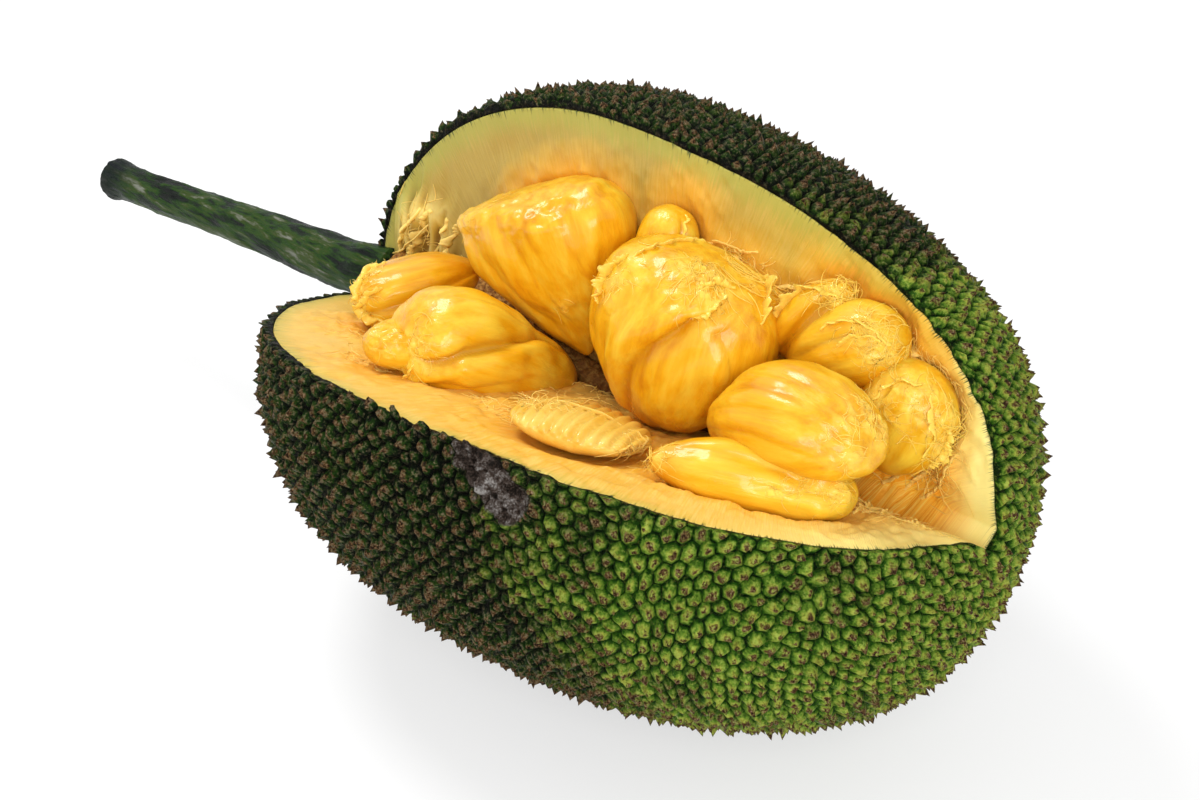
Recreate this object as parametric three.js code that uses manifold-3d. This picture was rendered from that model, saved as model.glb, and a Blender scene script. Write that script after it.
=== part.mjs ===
// A jackfruit with a wedge cut out of its upper front, lying on its side with its stalk still on.
// Millimetres, +Z up. The core line runs along +X from the stalk to the blossom end, and the origin
// is the middle of the small flat spot that the fruit rests on.

import * as THREE from 'three';
import { ConvexHull } from 'three/addons/math/ConvexHull.js';
import { mergeVertices } from 'three/addons/utils/BufferGeometryUtils.js';
import Module from 'manifold-3d';

const wasm = await Module();
wasm.setup();

const DEGREE = Math.PI / 180;

// ---------------------------------------------------------------- driving dimensions

const FRUIT_LENGTH = 321.6;
const HALF_LENGTH = FRUIT_LENGTH / 2;
const SKIN_RADIUS = 118;
const AXIS_MIDDLE = { x: 34, y: -7, z: 113 };

// The widest section, as a share of the half length from the middle. Each end's profile is
// (1 - w^2)^(1/round), where w runs from 0 at the widest section to 1 at the tip.
const WIDEST_AT = -0.217;
const STALK_END_ROUND = 2.3;
const BLOSSOM_END_ROUND = 2.93;

// The section is a circle with two waves on it: an oval that lies flat, and a slight three-cornered one.
const SECTION_WAVES = [
  { turns: 2, cosine: 0.062, sine: 0 },
  { turns: 3, cosine: -0.024, sine: 0.02 },
];

// The two cut faces. facing is the way a face looks, from +Y (back) over +Z (up), and past is how far
// it lies from the axis that way: past + drift at the blossom end and past - drift at the stalk.
const NEAR_CUT = { facing: 72.6 * DEGREE, past: 1.2, drift: 9.0 };
const FAR_CUT = { facing: 173 * DEGREE, past: -5.6, drift: -17.2 };
const CUT_REACH = 300;

const SPINE_COUNT = 1650;
const SPINE_FOOT = 0.6;
const SPINE_TIP = 5.6;
const SPINE_TIP_SPREAD = 1.0;
const SPINE_LEAN = 1.2;
const RIND_INSIDE = -3.0;
const PIECE_GAP = 0.35;

const BODY_RINGS = 17;
const BODY_SIDES = 24;
const BULB_RINGS = 9;
const BULB_SIDES = 13;

const GOLDEN_ANGLE = Math.PI * (3 - Math.sqrt(5));
const SEED = 20261;

// ---------------------------------------------------------------- colours

function finish(colour, roughness) {
  return new THREE.MeshStandardMaterial({ color: colour, roughness, metalness: 0 });
}

const RIND_GREEN = finish(0x3f5a24, 0.6);
const FLESH_CREAM = finish(0xe8c873, 0.55);
const CORE_TAN = finish(0xb98a45, 0.75);
const STEM_GREEN = finish(0x26391f, 0.55);
const BULB_YELLOW = finish(0xf2a71f, 0.3);
const HUSK_PALE = finish(0xe6bf62, 0.4);

// ---------------------------------------------------------------- small helpers

function vector(x, y, z) {
  return new THREE.Vector3(x, y, z);
}

function makeRandom(seed) {
  let state = seed;
  return () => {
    state = (state * 1103515245 + 12345) % 2147483648;
    return state / 2147483648;
  };
}

function meshGeometry(points, triangles) {
  const geometry = new THREE.BufferGeometry();
  const positions = points.flatMap((point) => [point.x, point.y, point.z]);
  geometry.setAttribute('position', new THREE.Float32BufferAttribute(positions, 3));
  geometry.setIndex(triangles);
  return geometry;
}

function toSolid(geometry) {
  const bare = geometry.clone();
  bare.deleteAttribute('normal');
  bare.deleteAttribute('uv');
  const merged = mergeVertices(bare, 1e-4);
  return new wasm.Manifold(new wasm.Mesh({
    numProp: 3,
    vertProperties: new Float32Array(merged.attributes.position.array),
    triVerts: new Uint32Array(merged.index.array),
  }));
}

function biggestPiece(solid) {
  const pieces = solid.decompose();
  return pieces.reduce((best, piece) => (piece.volume() > best.volume() ? piece : best));
}

function toMesh(name, solid, material) {
  const data = biggestPiece(solid).getMesh();
  const geometry = new THREE.BufferGeometry();
  geometry.setAttribute('position', new THREE.BufferAttribute(data.vertProperties, 3));
  geometry.setIndex(new THREE.BufferAttribute(data.triVerts, 1));
  geometry.computeVertexNormals();
  const mesh = new THREE.Mesh(geometry, material);
  mesh.name = name;
  return mesh;
}

// A closed skin over rings of points, with one point at each end. Each ring turns anticlockwise
// about the direction in which the rings follow each other.
function loft(startPoint, rings, endPoint) {
  const sides = rings[0].length;
  const points = [startPoint, ...rings.flat(), endPoint];
  const last = points.length - 1;
  const at = (ring, side) => 1 + ring * sides + (side % sides);
  const triangles = [];
  for (let side = 0; side < sides; side += 1) {
    triangles.push(0, at(0, side + 1), at(0, side));
    triangles.push(last, at(rings.length - 1, side), at(rings.length - 1, side + 1));
    for (let ring = 0; ring + 1 < rings.length; ring += 1) {
      triangles.push(at(ring, side), at(ring, side + 1), at(ring + 1, side + 1));
      triangles.push(at(ring, side), at(ring + 1, side + 1), at(ring + 1, side));
    }
  }
  return meshGeometry(points, triangles);
}

// ---------------------------------------------------------------- the fruit's skin as a formula

function profileRadius(u) {
  const round = u < WIDEST_AT ? STALK_END_ROUND : BLOSSOM_END_ROUND;
  const reach = u < WIDEST_AT ? WIDEST_AT + 1 : 1 - WIDEST_AT;
  const w = Math.min(1, Math.abs(u - WIDEST_AT) / reach);
  return SKIN_RADIUS * (1 - w * w) ** (1 / round);
}

function sectionShare(angle) {
  return SECTION_WAVES.reduce((share, wave) => (
    share + wave.cosine * Math.cos(wave.turns * angle) + wave.sine * Math.sin(wave.turns * angle)
  ), 1);
}

// A point of the skin at u (-1 at the stalk, 1 at the blossom end), moved out by lift.
function skinPoint(u, angle, lift) {
  const radius = profileRadius(u) * sectionShare(angle) + lift * Math.sqrt(1 - u * u);
  return vector(
    AXIS_MIDDLE.x + u * (HALF_LENGTH + lift),
    AXIS_MIDDLE.y + radius * Math.cos(angle),
    AXIS_MIDDLE.z + radius * Math.sin(angle),
  );
}

function smoothBody(lift) {
  const rings = [];
  for (let ring = 0; ring < BODY_RINGS; ring += 1) {
    const u = -Math.cos((Math.PI * (ring + 0.6)) / (BODY_RINGS + 0.2));
    rings.push(Array.from({ length: BODY_SIDES }, (_, side) => (
      skinPoint(u, (2 * Math.PI * side) / BODY_SIDES, lift)
    )));
  }
  return toSolid(loft(skinPoint(-1, 0, lift), rings, skinPoint(1, 0, lift)));
}

// ---------------------------------------------------------------- spines

// Steps along the skin from the stalk, each with the area so far and the reach of the map that
// keeps the skin's small shapes when it is laid on a ball.
function skinSteps() {
  const STEP_COUNT = 3000;
  const steps = [{ u: -1, area: 0, reach: 0 }];
  for (let i = 1; i < STEP_COUNT; i += 1) {
    const from = -Math.cos((Math.PI * (i - 1)) / STEP_COUNT);
    const to = -Math.cos((Math.PI * i) / STEP_COUNT);
    const radius = profileRadius((from + to) / 2);
    const slant = Math.hypot((to - from) * HALF_LENGTH, profileRadius(to) - profileRadius(from));
    const last = steps[steps.length - 1];
    steps.push({ u: to, area: last.area + radius * slant, reach: last.reach + slant / radius });
  }
  return steps;
}

// The spines stand in golden-angle order, each on an equal share of the skin.
function spineSpots() {
  const steps = skinSteps();
  const wholeArea = steps[steps.length - 1].area;
  const middle = steps.find((step) => step.area > wholeArea / 2).reach;
  const spots = [];
  let k = 0;
  for (let n = 0; n < SPINE_COUNT; n += 1) {
    const area = (wholeArea * (n + 0.5)) / SPINE_COUNT;
    while (steps[k + 1].area < area) {
      k += 1;
    }
    const blend = (area - steps[k].area) / (steps[k + 1].area - steps[k].area);
    const u = THREE.MathUtils.lerp(steps[k].u, steps[k + 1].u, blend);
    const reach = THREE.MathUtils.lerp(steps[k].reach, steps[k + 1].reach, blend) - middle;
    const angle = n * GOLDEN_ANGLE;
    const ballHeight = Math.tanh(reach);
    const ballRadius = Math.sqrt(1 - ballHeight * ballHeight);
    const onBall = vector(ballRadius * Math.cos(angle), ballRadius * Math.sin(angle), ballHeight);
    spots.push({ u, angle, onBall });
  }
  return spots;
}

// Triangles between neighbouring spines, found as the faces of the hull of the spots on a ball.
function neighbourTriangles(spots) {
  const indexOf = new Map(spots.map((spot, index) => [spot.onBall, index]));
  const hull = new ConvexHull().setFromPoints(spots.map((spot) => spot.onBall));
  return hull.faces.map((face) => {
    const first = face.edge;
    return [first, first.next, first.next.next].map((edge) => indexOf.get(edge.vertex.point));
  });
}

// The spiny outside: each spine is a pyramid whose feet are the middles of the triangles round it.
function spinySkin() {
  const random = makeRandom(SEED);
  const spots = spineSpots();
  const triangles = neighbourTriangles(spots);
  const tips = spots.map(({ u, angle }) => {
    const height = SPINE_TIP + SPINE_TIP_SPREAD * (random() - 0.5);
    const lean = (SPINE_LEAN * (random() - 0.5)) / SKIN_RADIUS;
    return skinPoint(u, angle + lean, height);
  });
  const feet = triangles.map((corners) => {
    const foot = vector(0, 0, 0);
    corners.forEach((corner) => foot.add(skinPoint(spots[corner].u, spots[corner].angle, SPINE_FOOT)));
    return foot.divideScalar(3);
  });
  const footAfter = new Map();
  triangles.forEach(([a, b, c], index) => {
    [[a, b], [b, c], [c, a]].forEach(([from, to]) => footAfter.set(`${from}-${to}`, index));
  });
  const faces = [];
  for (const [edge, left] of footAfter) {
    const [from, to] = edge.split('-').map(Number);
    const right = footAfter.get(`${to}-${from}`);
    faces.push(from, tips.length + right, tips.length + left);
  }
  return toSolid(meshGeometry([...tips, ...feet], faces));
}

// ---------------------------------------------------------------- cuts

// The way a cut face looks. It isn't of unit length: its share across the axis is.
function outwards(cut) {
  return vector(-cut.drift / HALF_LENGTH, Math.cos(cut.facing), Math.sin(cut.facing));
}

// Everything in front of a cut face, as one large block that stands on it.
function inFrontOf(cut) {
  const facing = outwards(cut);
  const away = cut.past / facing.length();
  facing.normalize();
  const block = new THREE.BoxGeometry(2 * CUT_REACH, 2 * CUT_REACH, CUT_REACH);
  block.translate(0, 0, CUT_REACH / 2 + away);
  block.applyQuaternion(new THREE.Quaternion().setFromUnitVectors(vector(0, 0, 1), facing));
  block.translate(AXIS_MIDDLE.x, AXIS_MIDDLE.y, AXIS_MIDDLE.z);
  return toSolid(block);
}

function belowGround() {
  const block = new THREE.BoxGeometry(2 * CUT_REACH, 2 * CUT_REACH, CUT_REACH);
  block.translate(0, 0, -CUT_REACH / 2);
  return toSolid(block);
}

// ---------------------------------------------------------------- bulbs

// A pod lies on the near cut face, stands against the far one, or leans between the two. up is the
// direction that its thickness is measured in, before it is squared to its axis. taper is how much
// narrower the core end is, and bend is the bow of the axis as a share of its length.
const LYING = outwards(NEAR_CUT);
const STANDING = outwards(FAR_CUT);
const LEANING = LYING.clone().addScaledVector(STANDING, 0.6).normalize();

const BULBS = {
  bulb_6: {
    base: vector(56, -22, 123), tip: vector(70, -11, 194), halfWidth: 39, halfDepth: 29,
    up: STANDING, taper: 0.3, bend: 0, creases: [{ at: 75, depth: 0.12 }, { at: 130, depth: 0.06 }],
  },
  bulb_2: {
    base: vector(4, -11, 126), tip: vector(-25, -13, 192), halfWidth: 41, halfDepth: 27,
    up: STANDING, taper: 0.85, bend: 0, creases: [{ at: 60, depth: 0.07 }, { at: 120, depth: 0.05 }],
  },
  bulb_3: {
    base: vector(1, -16, 114), tip: vector(-18, -86, 155), halfWidth: 26, halfDepth: 23,
    up: LYING, taper: 0.6, bend: 0, creases: [{ at: 80, depth: 0.13 }],
  },
  bulb_11: {
    base: vector(103, -68, 143), tip: vector(165, -25, 137), halfWidth: 15, halfDepth: 11,
    up: LYING, taper: 0.4, bend: 0, creases: [{ at: 100, depth: 0.08 }],
  },
  bulb_9: {
    base: vector(97, -28, 141), tip: vector(173, -27, 160), halfWidth: 21, halfDepth: 17,
    up: LEANING, taper: 0.3, bend: 0.14, creases: [{ at: 70, depth: 0.05 }],
  },
  bulb_1: {
    base: vector(-55, -20, 145), tip: vector(-76, -68, 137), halfWidth: 18, halfDepth: 14,
    up: LYING, taper: 0.3, bend: 0, creases: [{ at: 60, depth: 0.08 }],
  },
  bulb_5: {
    base: vector(35, -4, 160), tip: vector(40, 2, 199), halfWidth: 13, halfDepth: 11,
    up: STANDING, taper: 0.3, bend: 0, creases: [{ at: 110, depth: 0.08 }],
  },
  bulb_10: {
    base: vector(144, 5, 132), tip: vector(163, 14, 172), halfWidth: 20, halfDepth: 14,
    up: STANDING, taper: 0.2, bend: 0, creases: [{ at: 90, depth: 0.08 }],
  },
  bulb_8: {
    base: vector(103, 4, 159), tip: vector(149, 12, 183), halfWidth: 17, halfDepth: 14,
    up: STANDING, taper: 0.2, bend: 0, creases: [{ at: 90, depth: 0.06 }],
  },
  bulb_7: {
    base: vector(97, 5, 159), tip: vector(121, 13, 191), halfWidth: 11, halfDepth: 9,
    up: STANDING, taper: 0.1, bend: 0.1, creases: [{ at: 90, depth: 0.15 }],
  },
  bulb_4: {
    base: vector(-16, -48, 139), tip: vector(-24, -99, 148), halfWidth: 15, halfDepth: 9,
    up: LYING, taper: 0.3, bend: 0, creases: [{ at: 90, depth: 0.06 }],
  },
  husk: {
    base: vector(57, -48, 133), tip: vector(75, -88, 147), halfWidth: 27, halfDepth: 7,
    up: LYING, taper: 0.1, bend: 0, creases: [{ at: 70, depth: 0.1 }, { at: 110, depth: 0.1 }],
  },
};
const BULB_ROUNDNESS = 0.78;
const TAPER_FALL = 1.2;
const CREASE_SPREAD = 11 * DEGREE;

function creaseShare(bulb, angle) {
  return bulb.creases.reduce((share, crease) => {
    const off = (angle - crease.at * DEGREE) / CREASE_SPREAD;
    return share - crease.depth * Math.exp(-off * off);
  }, 1);
}

// A pod from its core end to its tip. Its half width and depth grow by grow on every side.
function bulbSolid(bulb, grow) {
  const axis = bulb.tip.clone().sub(bulb.base);
  const length = axis.length();
  axis.normalize();
  const up = bulb.up.clone().addScaledVector(axis, -bulb.up.dot(axis)).normalize();
  const side = axis.clone().cross(up).negate();
  const along = (s) => bulb.base.clone()
    .addScaledVector(axis, -grow + s * (length + 2 * grow))
    .addScaledVector(up, bulb.bend * length * 4 * s * (1 - s));
  const stations = Array.from({ length: BULB_RINGS }, (_, ring) => (ring + 1) / (BULB_RINGS + 1));
  const shareAt = (t) => (1 - Math.cos(Math.PI * t)) / 2;
  const swell = (t) => (
    Math.sin(Math.PI * t) ** BULB_ROUNDNESS * (1 - bulb.taper * (1 - shareAt(t)) ** TAPER_FALL)
  );
  const fullest = Math.max(...stations.map(swell));
  const rings = [];
  for (const t of stations) {
    const s = shareAt(t);
    const size = swell(t) / fullest;
    rings.push(Array.from({ length: BULB_SIDES }, (_, k) => {
      const angle = (2 * Math.PI * k) / BULB_SIDES;
      const share = size * creaseShare(bulb, angle);
      return along(s)
        .addScaledVector(side, (bulb.halfWidth * share + grow) * Math.cos(angle))
        .addScaledVector(up, (bulb.halfDepth * share + grow) * Math.sin(angle));
    }));
  }
  return toSolid(loft(along(0), rings, along(1)));
}

// ---------------------------------------------------------------- core and stalk

// Round strands along a smooth path: each stop has a place and a radius.
function strandSolid(stops, sides, steps, grow) {
  const path = new THREE.CatmullRomCurve3(stops.map((stop) => stop.at));
  const sizes = new THREE.CatmullRomCurve3(stops.map((stop) => vector(stop.radius, 0, 0)));
  const rings = [];
  for (let step = 0; step <= steps; step += 1) {
    const t = step / steps;
    const centre = path.getPoint(t);
    const ahead = path.getTangent(t);
    const up = vector(0, 0, 1).addScaledVector(ahead, -ahead.z).normalize();
    const side = up.clone().cross(ahead);
    const radius = sizes.getPoint(t).x + grow;
    rings.push(Array.from({ length: sides }, (_, k) => {
      const angle = (2 * Math.PI * k) / sides;
      return centre.clone()
        .addScaledVector(side, radius * Math.cos(angle))
        .addScaledVector(up, radius * Math.sin(angle));
    }));
  }
  const startPoint = path.getPoint(0).addScaledVector(path.getTangent(0), -grow);
  const endPoint = path.getPoint(1).addScaledVector(path.getTangent(1), grow);
  return toSolid(loft(startPoint, rings, endPoint));
}

const CORE_STOPS = [
  { at: vector(-114, -17, 124), radius: 6.5 },
  { at: vector(-94, -14, 132), radius: 6 },
  { at: vector(-68, -12, 131), radius: 5.5 },
  { at: vector(-40, -10, 127), radius: 5.5 },
  { at: vector(-6, -8, 115), radius: 5.5 },
  { at: vector(34, -4, 107), radius: 5.5 },
  { at: vector(90, 2, 107), radius: 5.5 },
  { at: vector(130, 8, 106), radius: 3.5 },
  { at: vector(158, 11, 105), radius: 2.5 },
];
const CORE_SIDES = 8;
const CORE_STEPS = 20;

const STEM_STOPS = [
  { at: vector(-346, -19, 91), radius: 9.6 },
  { at: vector(-334, -19, 92.5), radius: 9 },
  { at: vector(-300, -19, 96.3), radius: 8.8 },
  { at: vector(-250, -19, 102.8), radius: 9.3 },
  { at: vector(-200, -19, 108.6), radius: 10.2 },
  { at: vector(-150, -19, 114), radius: 11.6 },
  { at: vector(-129, -18.5, 118.5), radius: 11.6 },
  { at: vector(-115, -17.5, 123.5), radius: 9 },
];
const STEM_SIDES = 12;
const STEM_STEPS = 18;
const STEM_TO_CORE_GAP = 1.5;

// Torn fibre that stands out of the flesh, and a hollow that a lifted bulb has left in it.
const RAG_LUMP = { at: vector(-100, -14, 141), size: vector(15, 7, 13) };
const HOLLOW = { at: vector(154, 8, 128), size: vector(24, 13, 18) };
const BLOB_SIDES = 12;

function blobSolid(blob) {
  const ball = new THREE.SphereGeometry(1, BLOB_SIDES, BLOB_SIDES / 2);
  ball.scale(blob.size.x, blob.size.y, blob.size.z);
  ball.translate(blob.at.x, blob.at.y, blob.at.z);
  return toSolid(ball);
}

// ---------------------------------------------------------------- the fruit

const wedge = inFrontOf(NEAR_CUT).intersect(inFrontOf(FAR_CUT));
const stem = strandSolid(STEM_STOPS, STEM_SIDES, STEM_STEPS, 0);
const stemRoom = strandSolid(STEM_STOPS, STEM_SIDES, STEM_STEPS, PIECE_GAP);
const core = strandSolid(CORE_STOPS, CORE_SIDES, CORE_STEPS, 0)
  .subtract(strandSolid(STEM_STOPS, STEM_SIDES, STEM_STEPS, STEM_TO_CORE_GAP));
const coreRoom = strandSolid(CORE_STOPS, CORE_SIDES, CORE_STEPS, PIECE_GAP);

const rind = spinySkin()
  .subtract(smoothBody(RIND_INSIDE))
  .subtract(wedge)
  .subtract(stemRoom)
  .subtract(belowGround());

let flesh = smoothBody(RIND_INSIDE - PIECE_GAP)
  .subtract(wedge)
  .subtract(blobSolid(HOLLOW))
  .add(blobSolid(RAG_LUMP))
  .subtract(stemRoom)
  .subtract(coreRoom);

const fruit = new THREE.Group();
const placedRooms = [coreRoom, stemRoom];
for (const [name, bulb] of Object.entries(BULBS)) {
  const solid = placedRooms.reduce((rest, room) => rest.subtract(room), bulbSolid(bulb, 0));
  const room = bulbSolid(bulb, PIECE_GAP);
  placedRooms.push(room);
  flesh = flesh.subtract(room);
  fruit.add(toMesh(name, solid, name === 'husk' ? HUSK_PALE : BULB_YELLOW));
}

fruit.add(toMesh('rind', rind, RIND_GREEN));
fruit.add(toMesh('flesh', flesh, FLESH_CREAM));
fruit.add(toMesh('core', core, CORE_TAN));
fruit.add(toMesh('stem', stem, STEM_GREEN));

export default fruit;
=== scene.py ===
"""A jackfruit with a wedge cut out of it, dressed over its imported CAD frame.

Points are worked out in millimetres in the CAD's own frame, and build_piece turns them into
metres. +X runs from the stalk to the blossom end, -Y is the open front and +Z is up."""

import math
from dataclasses import dataclass
from functools import reduce

import bmesh
import bpy
import numpy as np
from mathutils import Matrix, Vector
from mathutils.kdtree import KDTree


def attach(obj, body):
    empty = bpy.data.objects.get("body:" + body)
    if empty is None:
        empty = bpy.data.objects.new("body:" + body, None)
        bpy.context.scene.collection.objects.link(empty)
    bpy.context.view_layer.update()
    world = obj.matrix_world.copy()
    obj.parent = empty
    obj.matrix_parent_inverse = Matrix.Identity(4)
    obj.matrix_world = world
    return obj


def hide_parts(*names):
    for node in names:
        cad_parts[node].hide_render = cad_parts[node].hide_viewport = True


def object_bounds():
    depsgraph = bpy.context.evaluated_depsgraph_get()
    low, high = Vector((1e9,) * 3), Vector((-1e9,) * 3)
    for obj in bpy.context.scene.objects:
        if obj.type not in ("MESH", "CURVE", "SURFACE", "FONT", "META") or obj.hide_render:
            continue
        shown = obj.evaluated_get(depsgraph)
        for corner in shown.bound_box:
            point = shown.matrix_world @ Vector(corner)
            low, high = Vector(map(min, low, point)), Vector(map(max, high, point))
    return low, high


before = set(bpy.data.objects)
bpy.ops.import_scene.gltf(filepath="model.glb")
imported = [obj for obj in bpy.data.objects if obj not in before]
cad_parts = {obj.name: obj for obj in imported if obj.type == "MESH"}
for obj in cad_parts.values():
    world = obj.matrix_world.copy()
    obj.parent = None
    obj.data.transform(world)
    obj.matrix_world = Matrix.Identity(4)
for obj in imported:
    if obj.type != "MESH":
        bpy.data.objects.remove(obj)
CAD_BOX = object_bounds()

MM = 0.001
GOLDEN_ANGLE = math.pi * (3 - math.sqrt(5))

# ---------------------------------------------------------------- sizes, in millimetres

HALF_LENGTH = 160.8
SKIN_RADIUS = 118.0
AXIS_MIDDLE = np.array([34.0, -7.0, 113.0])
WIDEST_AT = -0.217
STALK_END_ROUND = 2.3
BLOSSOM_END_ROUND = 2.93
SECTION_WAVES = ((2, 0.062, 0.0), (3, -0.024, 0.02))

# Each cut face: the way it looks, from +Y over +Z, how far it lies from the axis that way, and how
# much further it lies at the blossom end.
NEAR_CUT = {"facing": math.radians(72.6), "past": 1.2, "drift": 9.0}
FAR_CUT = {"facing": math.radians(173.0), "past": -5.6, "drift": -17.2}

SPINE_COUNT = 7200
SPINE_HEIGHT = 4.9
SPINE_HEIGHT_SPREAD = 1.6
# A spine's two rings between foot and point: how far in they stand, and how far up.
SPINE_LEVELS = ((0.24, 0.36), (0.66, 0.70))
RIND_INSIDE = -1.3
FLESH_OUTSIDE = -1.7

CAMERA_AT = (0.6565, -0.5814, 0.5825)
CAMERA_TARGET = (0.0068, -0.0070, 0.1051)
CAMERA_LENS = 72.98
SENSOR_WIDTH = 36.0
FLOOR_GLOW = 0.60
WORLD_LIGHT = 0.74


# ---------------------------------------------------------------- noise and small helpers

def hashed(cells, seed):
    """A number from -1 to 1 for each whole-numbered cell."""
    x, y, z = (cells[..., k].astype(np.uint32) for k in range(3))
    mixed = x * np.uint32(0x9E3779B1) ^ y * np.uint32(0x85EBCA77) ^ z * np.uint32(0xC2B2AE3D)
    mixed ^= np.uint32((seed * 0x27D4EB2F) & 0xFFFFFFFF)
    for shift, factor in ((15, 0x2C1B3C6D), (12, 0x297A2D39)):
        mixed ^= mixed >> np.uint32(shift)
        mixed *= np.uint32(factor)
    mixed ^= mixed >> np.uint32(15)
    return mixed.astype(np.float64) / 0xFFFFFFFF * 2 - 1


def noise(points, cell_size, seed, octaves=1):
    """Smooth noise from about -1 to 1. cell_size is one size, or one for each direction."""
    total = np.zeros(points.shape[:-1])
    weight_sum = 0.0
    for octave in range(octaves):
        place = points / cell_size * 2 ** octave
        cells = np.floor(place).astype(np.int64)
        part = place - cells
        part = part * part * (3 - 2 * part)
        value = np.zeros(points.shape[:-1])
        for corner in range(8):
            offset = np.array([corner & 1, corner >> 1 & 1, corner >> 2 & 1])
            share = np.prod(np.where(offset == 1, part, 1 - part), axis=-1)
            value += share * hashed(cells + offset, seed + octave)
        weight = 0.5 ** octave
        total += value * weight
        weight_sum += weight
    return total / weight_sum


def smoothstep(low, high, value):
    """0 below low, 1 above high and a smooth rise between."""
    t = np.clip((value - low) / (high - low), 0, 1)
    return t * t * (3 - 2 * t)


def unit(vector):
    vector = np.asarray(vector, float)
    return vector / np.linalg.norm(vector)


def unit_rows(rows):
    return rows / np.linalg.norm(rows, axis=-1, keepdims=True)


def turn(sides):
    """Even angles round a full turn."""
    return 2 * np.pi * np.arange(sides) / sides


def mesh_points(obj):
    """A mesh's points in millimetres."""
    flat = np.empty(len(obj.data.vertices) * 3)
    obj.data.vertices.foreach_get("co", flat)
    return flat.reshape(-1, 3) / MM


def build_piece(name, points, faces):
    """A smooth-shaded piece from points in millimetres."""
    mesh = bpy.data.meshes.new(name)
    mesh.from_pydata((np.asarray(points) * MM).tolist(), [], [list(map(int, f)) for f in faces])
    mesh.update()
    obj = bpy.data.objects.new(name, mesh)
    bpy.context.scene.collection.objects.link(obj)
    mesh.shade_smooth()
    return obj


def set_attributes(obj, **values):
    """A value for each point under each name, which the materials read."""
    for name, column in values.items():
        attribute = obj.data.attributes.new(name, "FLOAT", "POINT")
        attribute.data.foreach_set("value", np.asarray(column, float))


def point_tree(points):
    tree = KDTree(len(points))
    for index, place in enumerate(points):
        tree.insert(place, index)
    tree.balance()
    return tree


def along_path(path, steps):
    """Even steps from 0 to 1, and the value of each of the path's columns at them."""
    t = np.linspace(0, 1, steps)
    stops = np.linspace(0, 1, len(path))
    return t, *(np.interp(t, stops, column) for column in np.array(path, float).T)


def ring_faces(ring_count, sides, first=0):
    """Quads between rings that follow each other, each ring anticlockwise seen from the end."""
    faces = []
    for ring in range(ring_count - 1):
        for side in range(sides):
            after = (side + 1) % sides
            low, high = first + ring * sides, first + (ring + 1) * sides
            faces.append((low + side, low + after, high + after, high + side))
    return faces


def tube_faces(ring_count, sides):
    """The same with one flat face on each end."""
    last_ring = (ring_count - 1) * sides
    ends = [tuple(range(sides))[::-1], tuple(last_ring + k for k in range(sides))]
    return ring_faces(ring_count, sides) + ends


def loft(start, rings, end):
    """A closed skin over rings of points with one point at each end."""
    ring_count, sides = rings.shape[:2]
    points = np.vstack([start[None], rings.reshape(-1, 3), end[None]])
    faces = ring_faces(ring_count, sides, 1)
    last_ring = 1 + (ring_count - 1) * sides
    for side in range(sides):
        after = (side + 1) % sides
        faces.append((0, 1 + after, 1 + side))
        faces.append((len(points) - 1, last_ring + side, last_ring + after))
    return points, faces


def triangulate(obj):
    """Split a piece's faces into triangles that all look outwards."""
    editor = bmesh.new()
    editor.from_mesh(obj.data)
    bmesh.ops.triangulate(editor, faces=editor.faces)
    bmesh.ops.recalc_face_normals(editor, faces=editor.faces)
    editor.to_mesh(obj.data)
    editor.free()


def cut_away(obj, cutter):
    """Cut obj by cutter, which is then removed."""
    modifier = obj.modifiers.new("cut", "BOOLEAN")
    modifier.operation = "DIFFERENCE"
    modifier.solver = "MANIFOLD"
    modifier.object = cutter
    depsgraph = bpy.context.evaluated_depsgraph_get()
    result = bpy.data.meshes.new_from_object(obj.evaluated_get(depsgraph))
    obj.modifiers.clear()
    obj.data = result
    bpy.data.objects.remove(cutter)
    result.shade_smooth()


def join(obj, other):
    """Add another piece's faces to obj. Its points come after obj's own."""
    editor = bmesh.new()
    editor.from_mesh(obj.data)
    editor.from_mesh(other.data)
    editor.to_mesh(obj.data)
    editor.free()
    bpy.data.objects.remove(other)
    obj.data.shade_smooth()


def keep_biggest(obj):
    """Drop the small cut-off bits, so that only the biggest connected body stays."""
    editor = bmesh.new()
    editor.from_mesh(obj.data)
    editor.verts.ensure_lookup_table()
    group = np.full(len(editor.verts), -1)
    bodies = 0
    for start in editor.verts:
        if group[start.index] >= 0:
            continue
        group[start.index] = bodies
        waiting = [start]
        while waiting:
            for edge in waiting.pop().link_edges:
                for end in edge.verts:
                    if group[end.index] < 0:
                        group[end.index] = bodies
                        waiting.append(end)
        bodies += 1
    biggest = np.bincount(group).argmax()
    loose = [v for v in editor.verts if group[v.index] != biggest]
    bmesh.ops.delete(editor, geom=loose, context="VERTS")
    editor.to_mesh(obj.data)
    editor.free()


# ---------------------------------------------------------------- threads and torn lips

THREAD_STEPS = 9
# With four sides a thread's ends are four-cornered faces like the rest of it.
THREAD_SIDES = 4
THREAD_TAPER = 0.7


def thread_mesh(name, paths, radii):
    """Closed tapering threads. paths is (threads, steps, 3) and radii is (threads, steps)."""
    count, steps = radii.shape
    ahead = unit_rows(np.gradient(paths, axis=1))
    first = unit_rows(np.cross(ahead, np.array([0.31, 0.55, 0.77])))
    second = np.cross(ahead, first)
    angle = turn(THREAD_SIDES)
    rings = paths[:, :, None] + radii[..., None, None] * (
        first[:, :, None] * np.cos(angle)[:, None] + second[:, :, None] * np.sin(angle)[:, None])
    starts = np.arange(count) * steps * THREAD_SIDES
    faces = np.array(tube_faces(steps, THREAD_SIDES)) + starts[:, None, None]
    return build_piece(name, rings.reshape(-1, 3), faces.reshape(-1, THREAD_SIDES))


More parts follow.
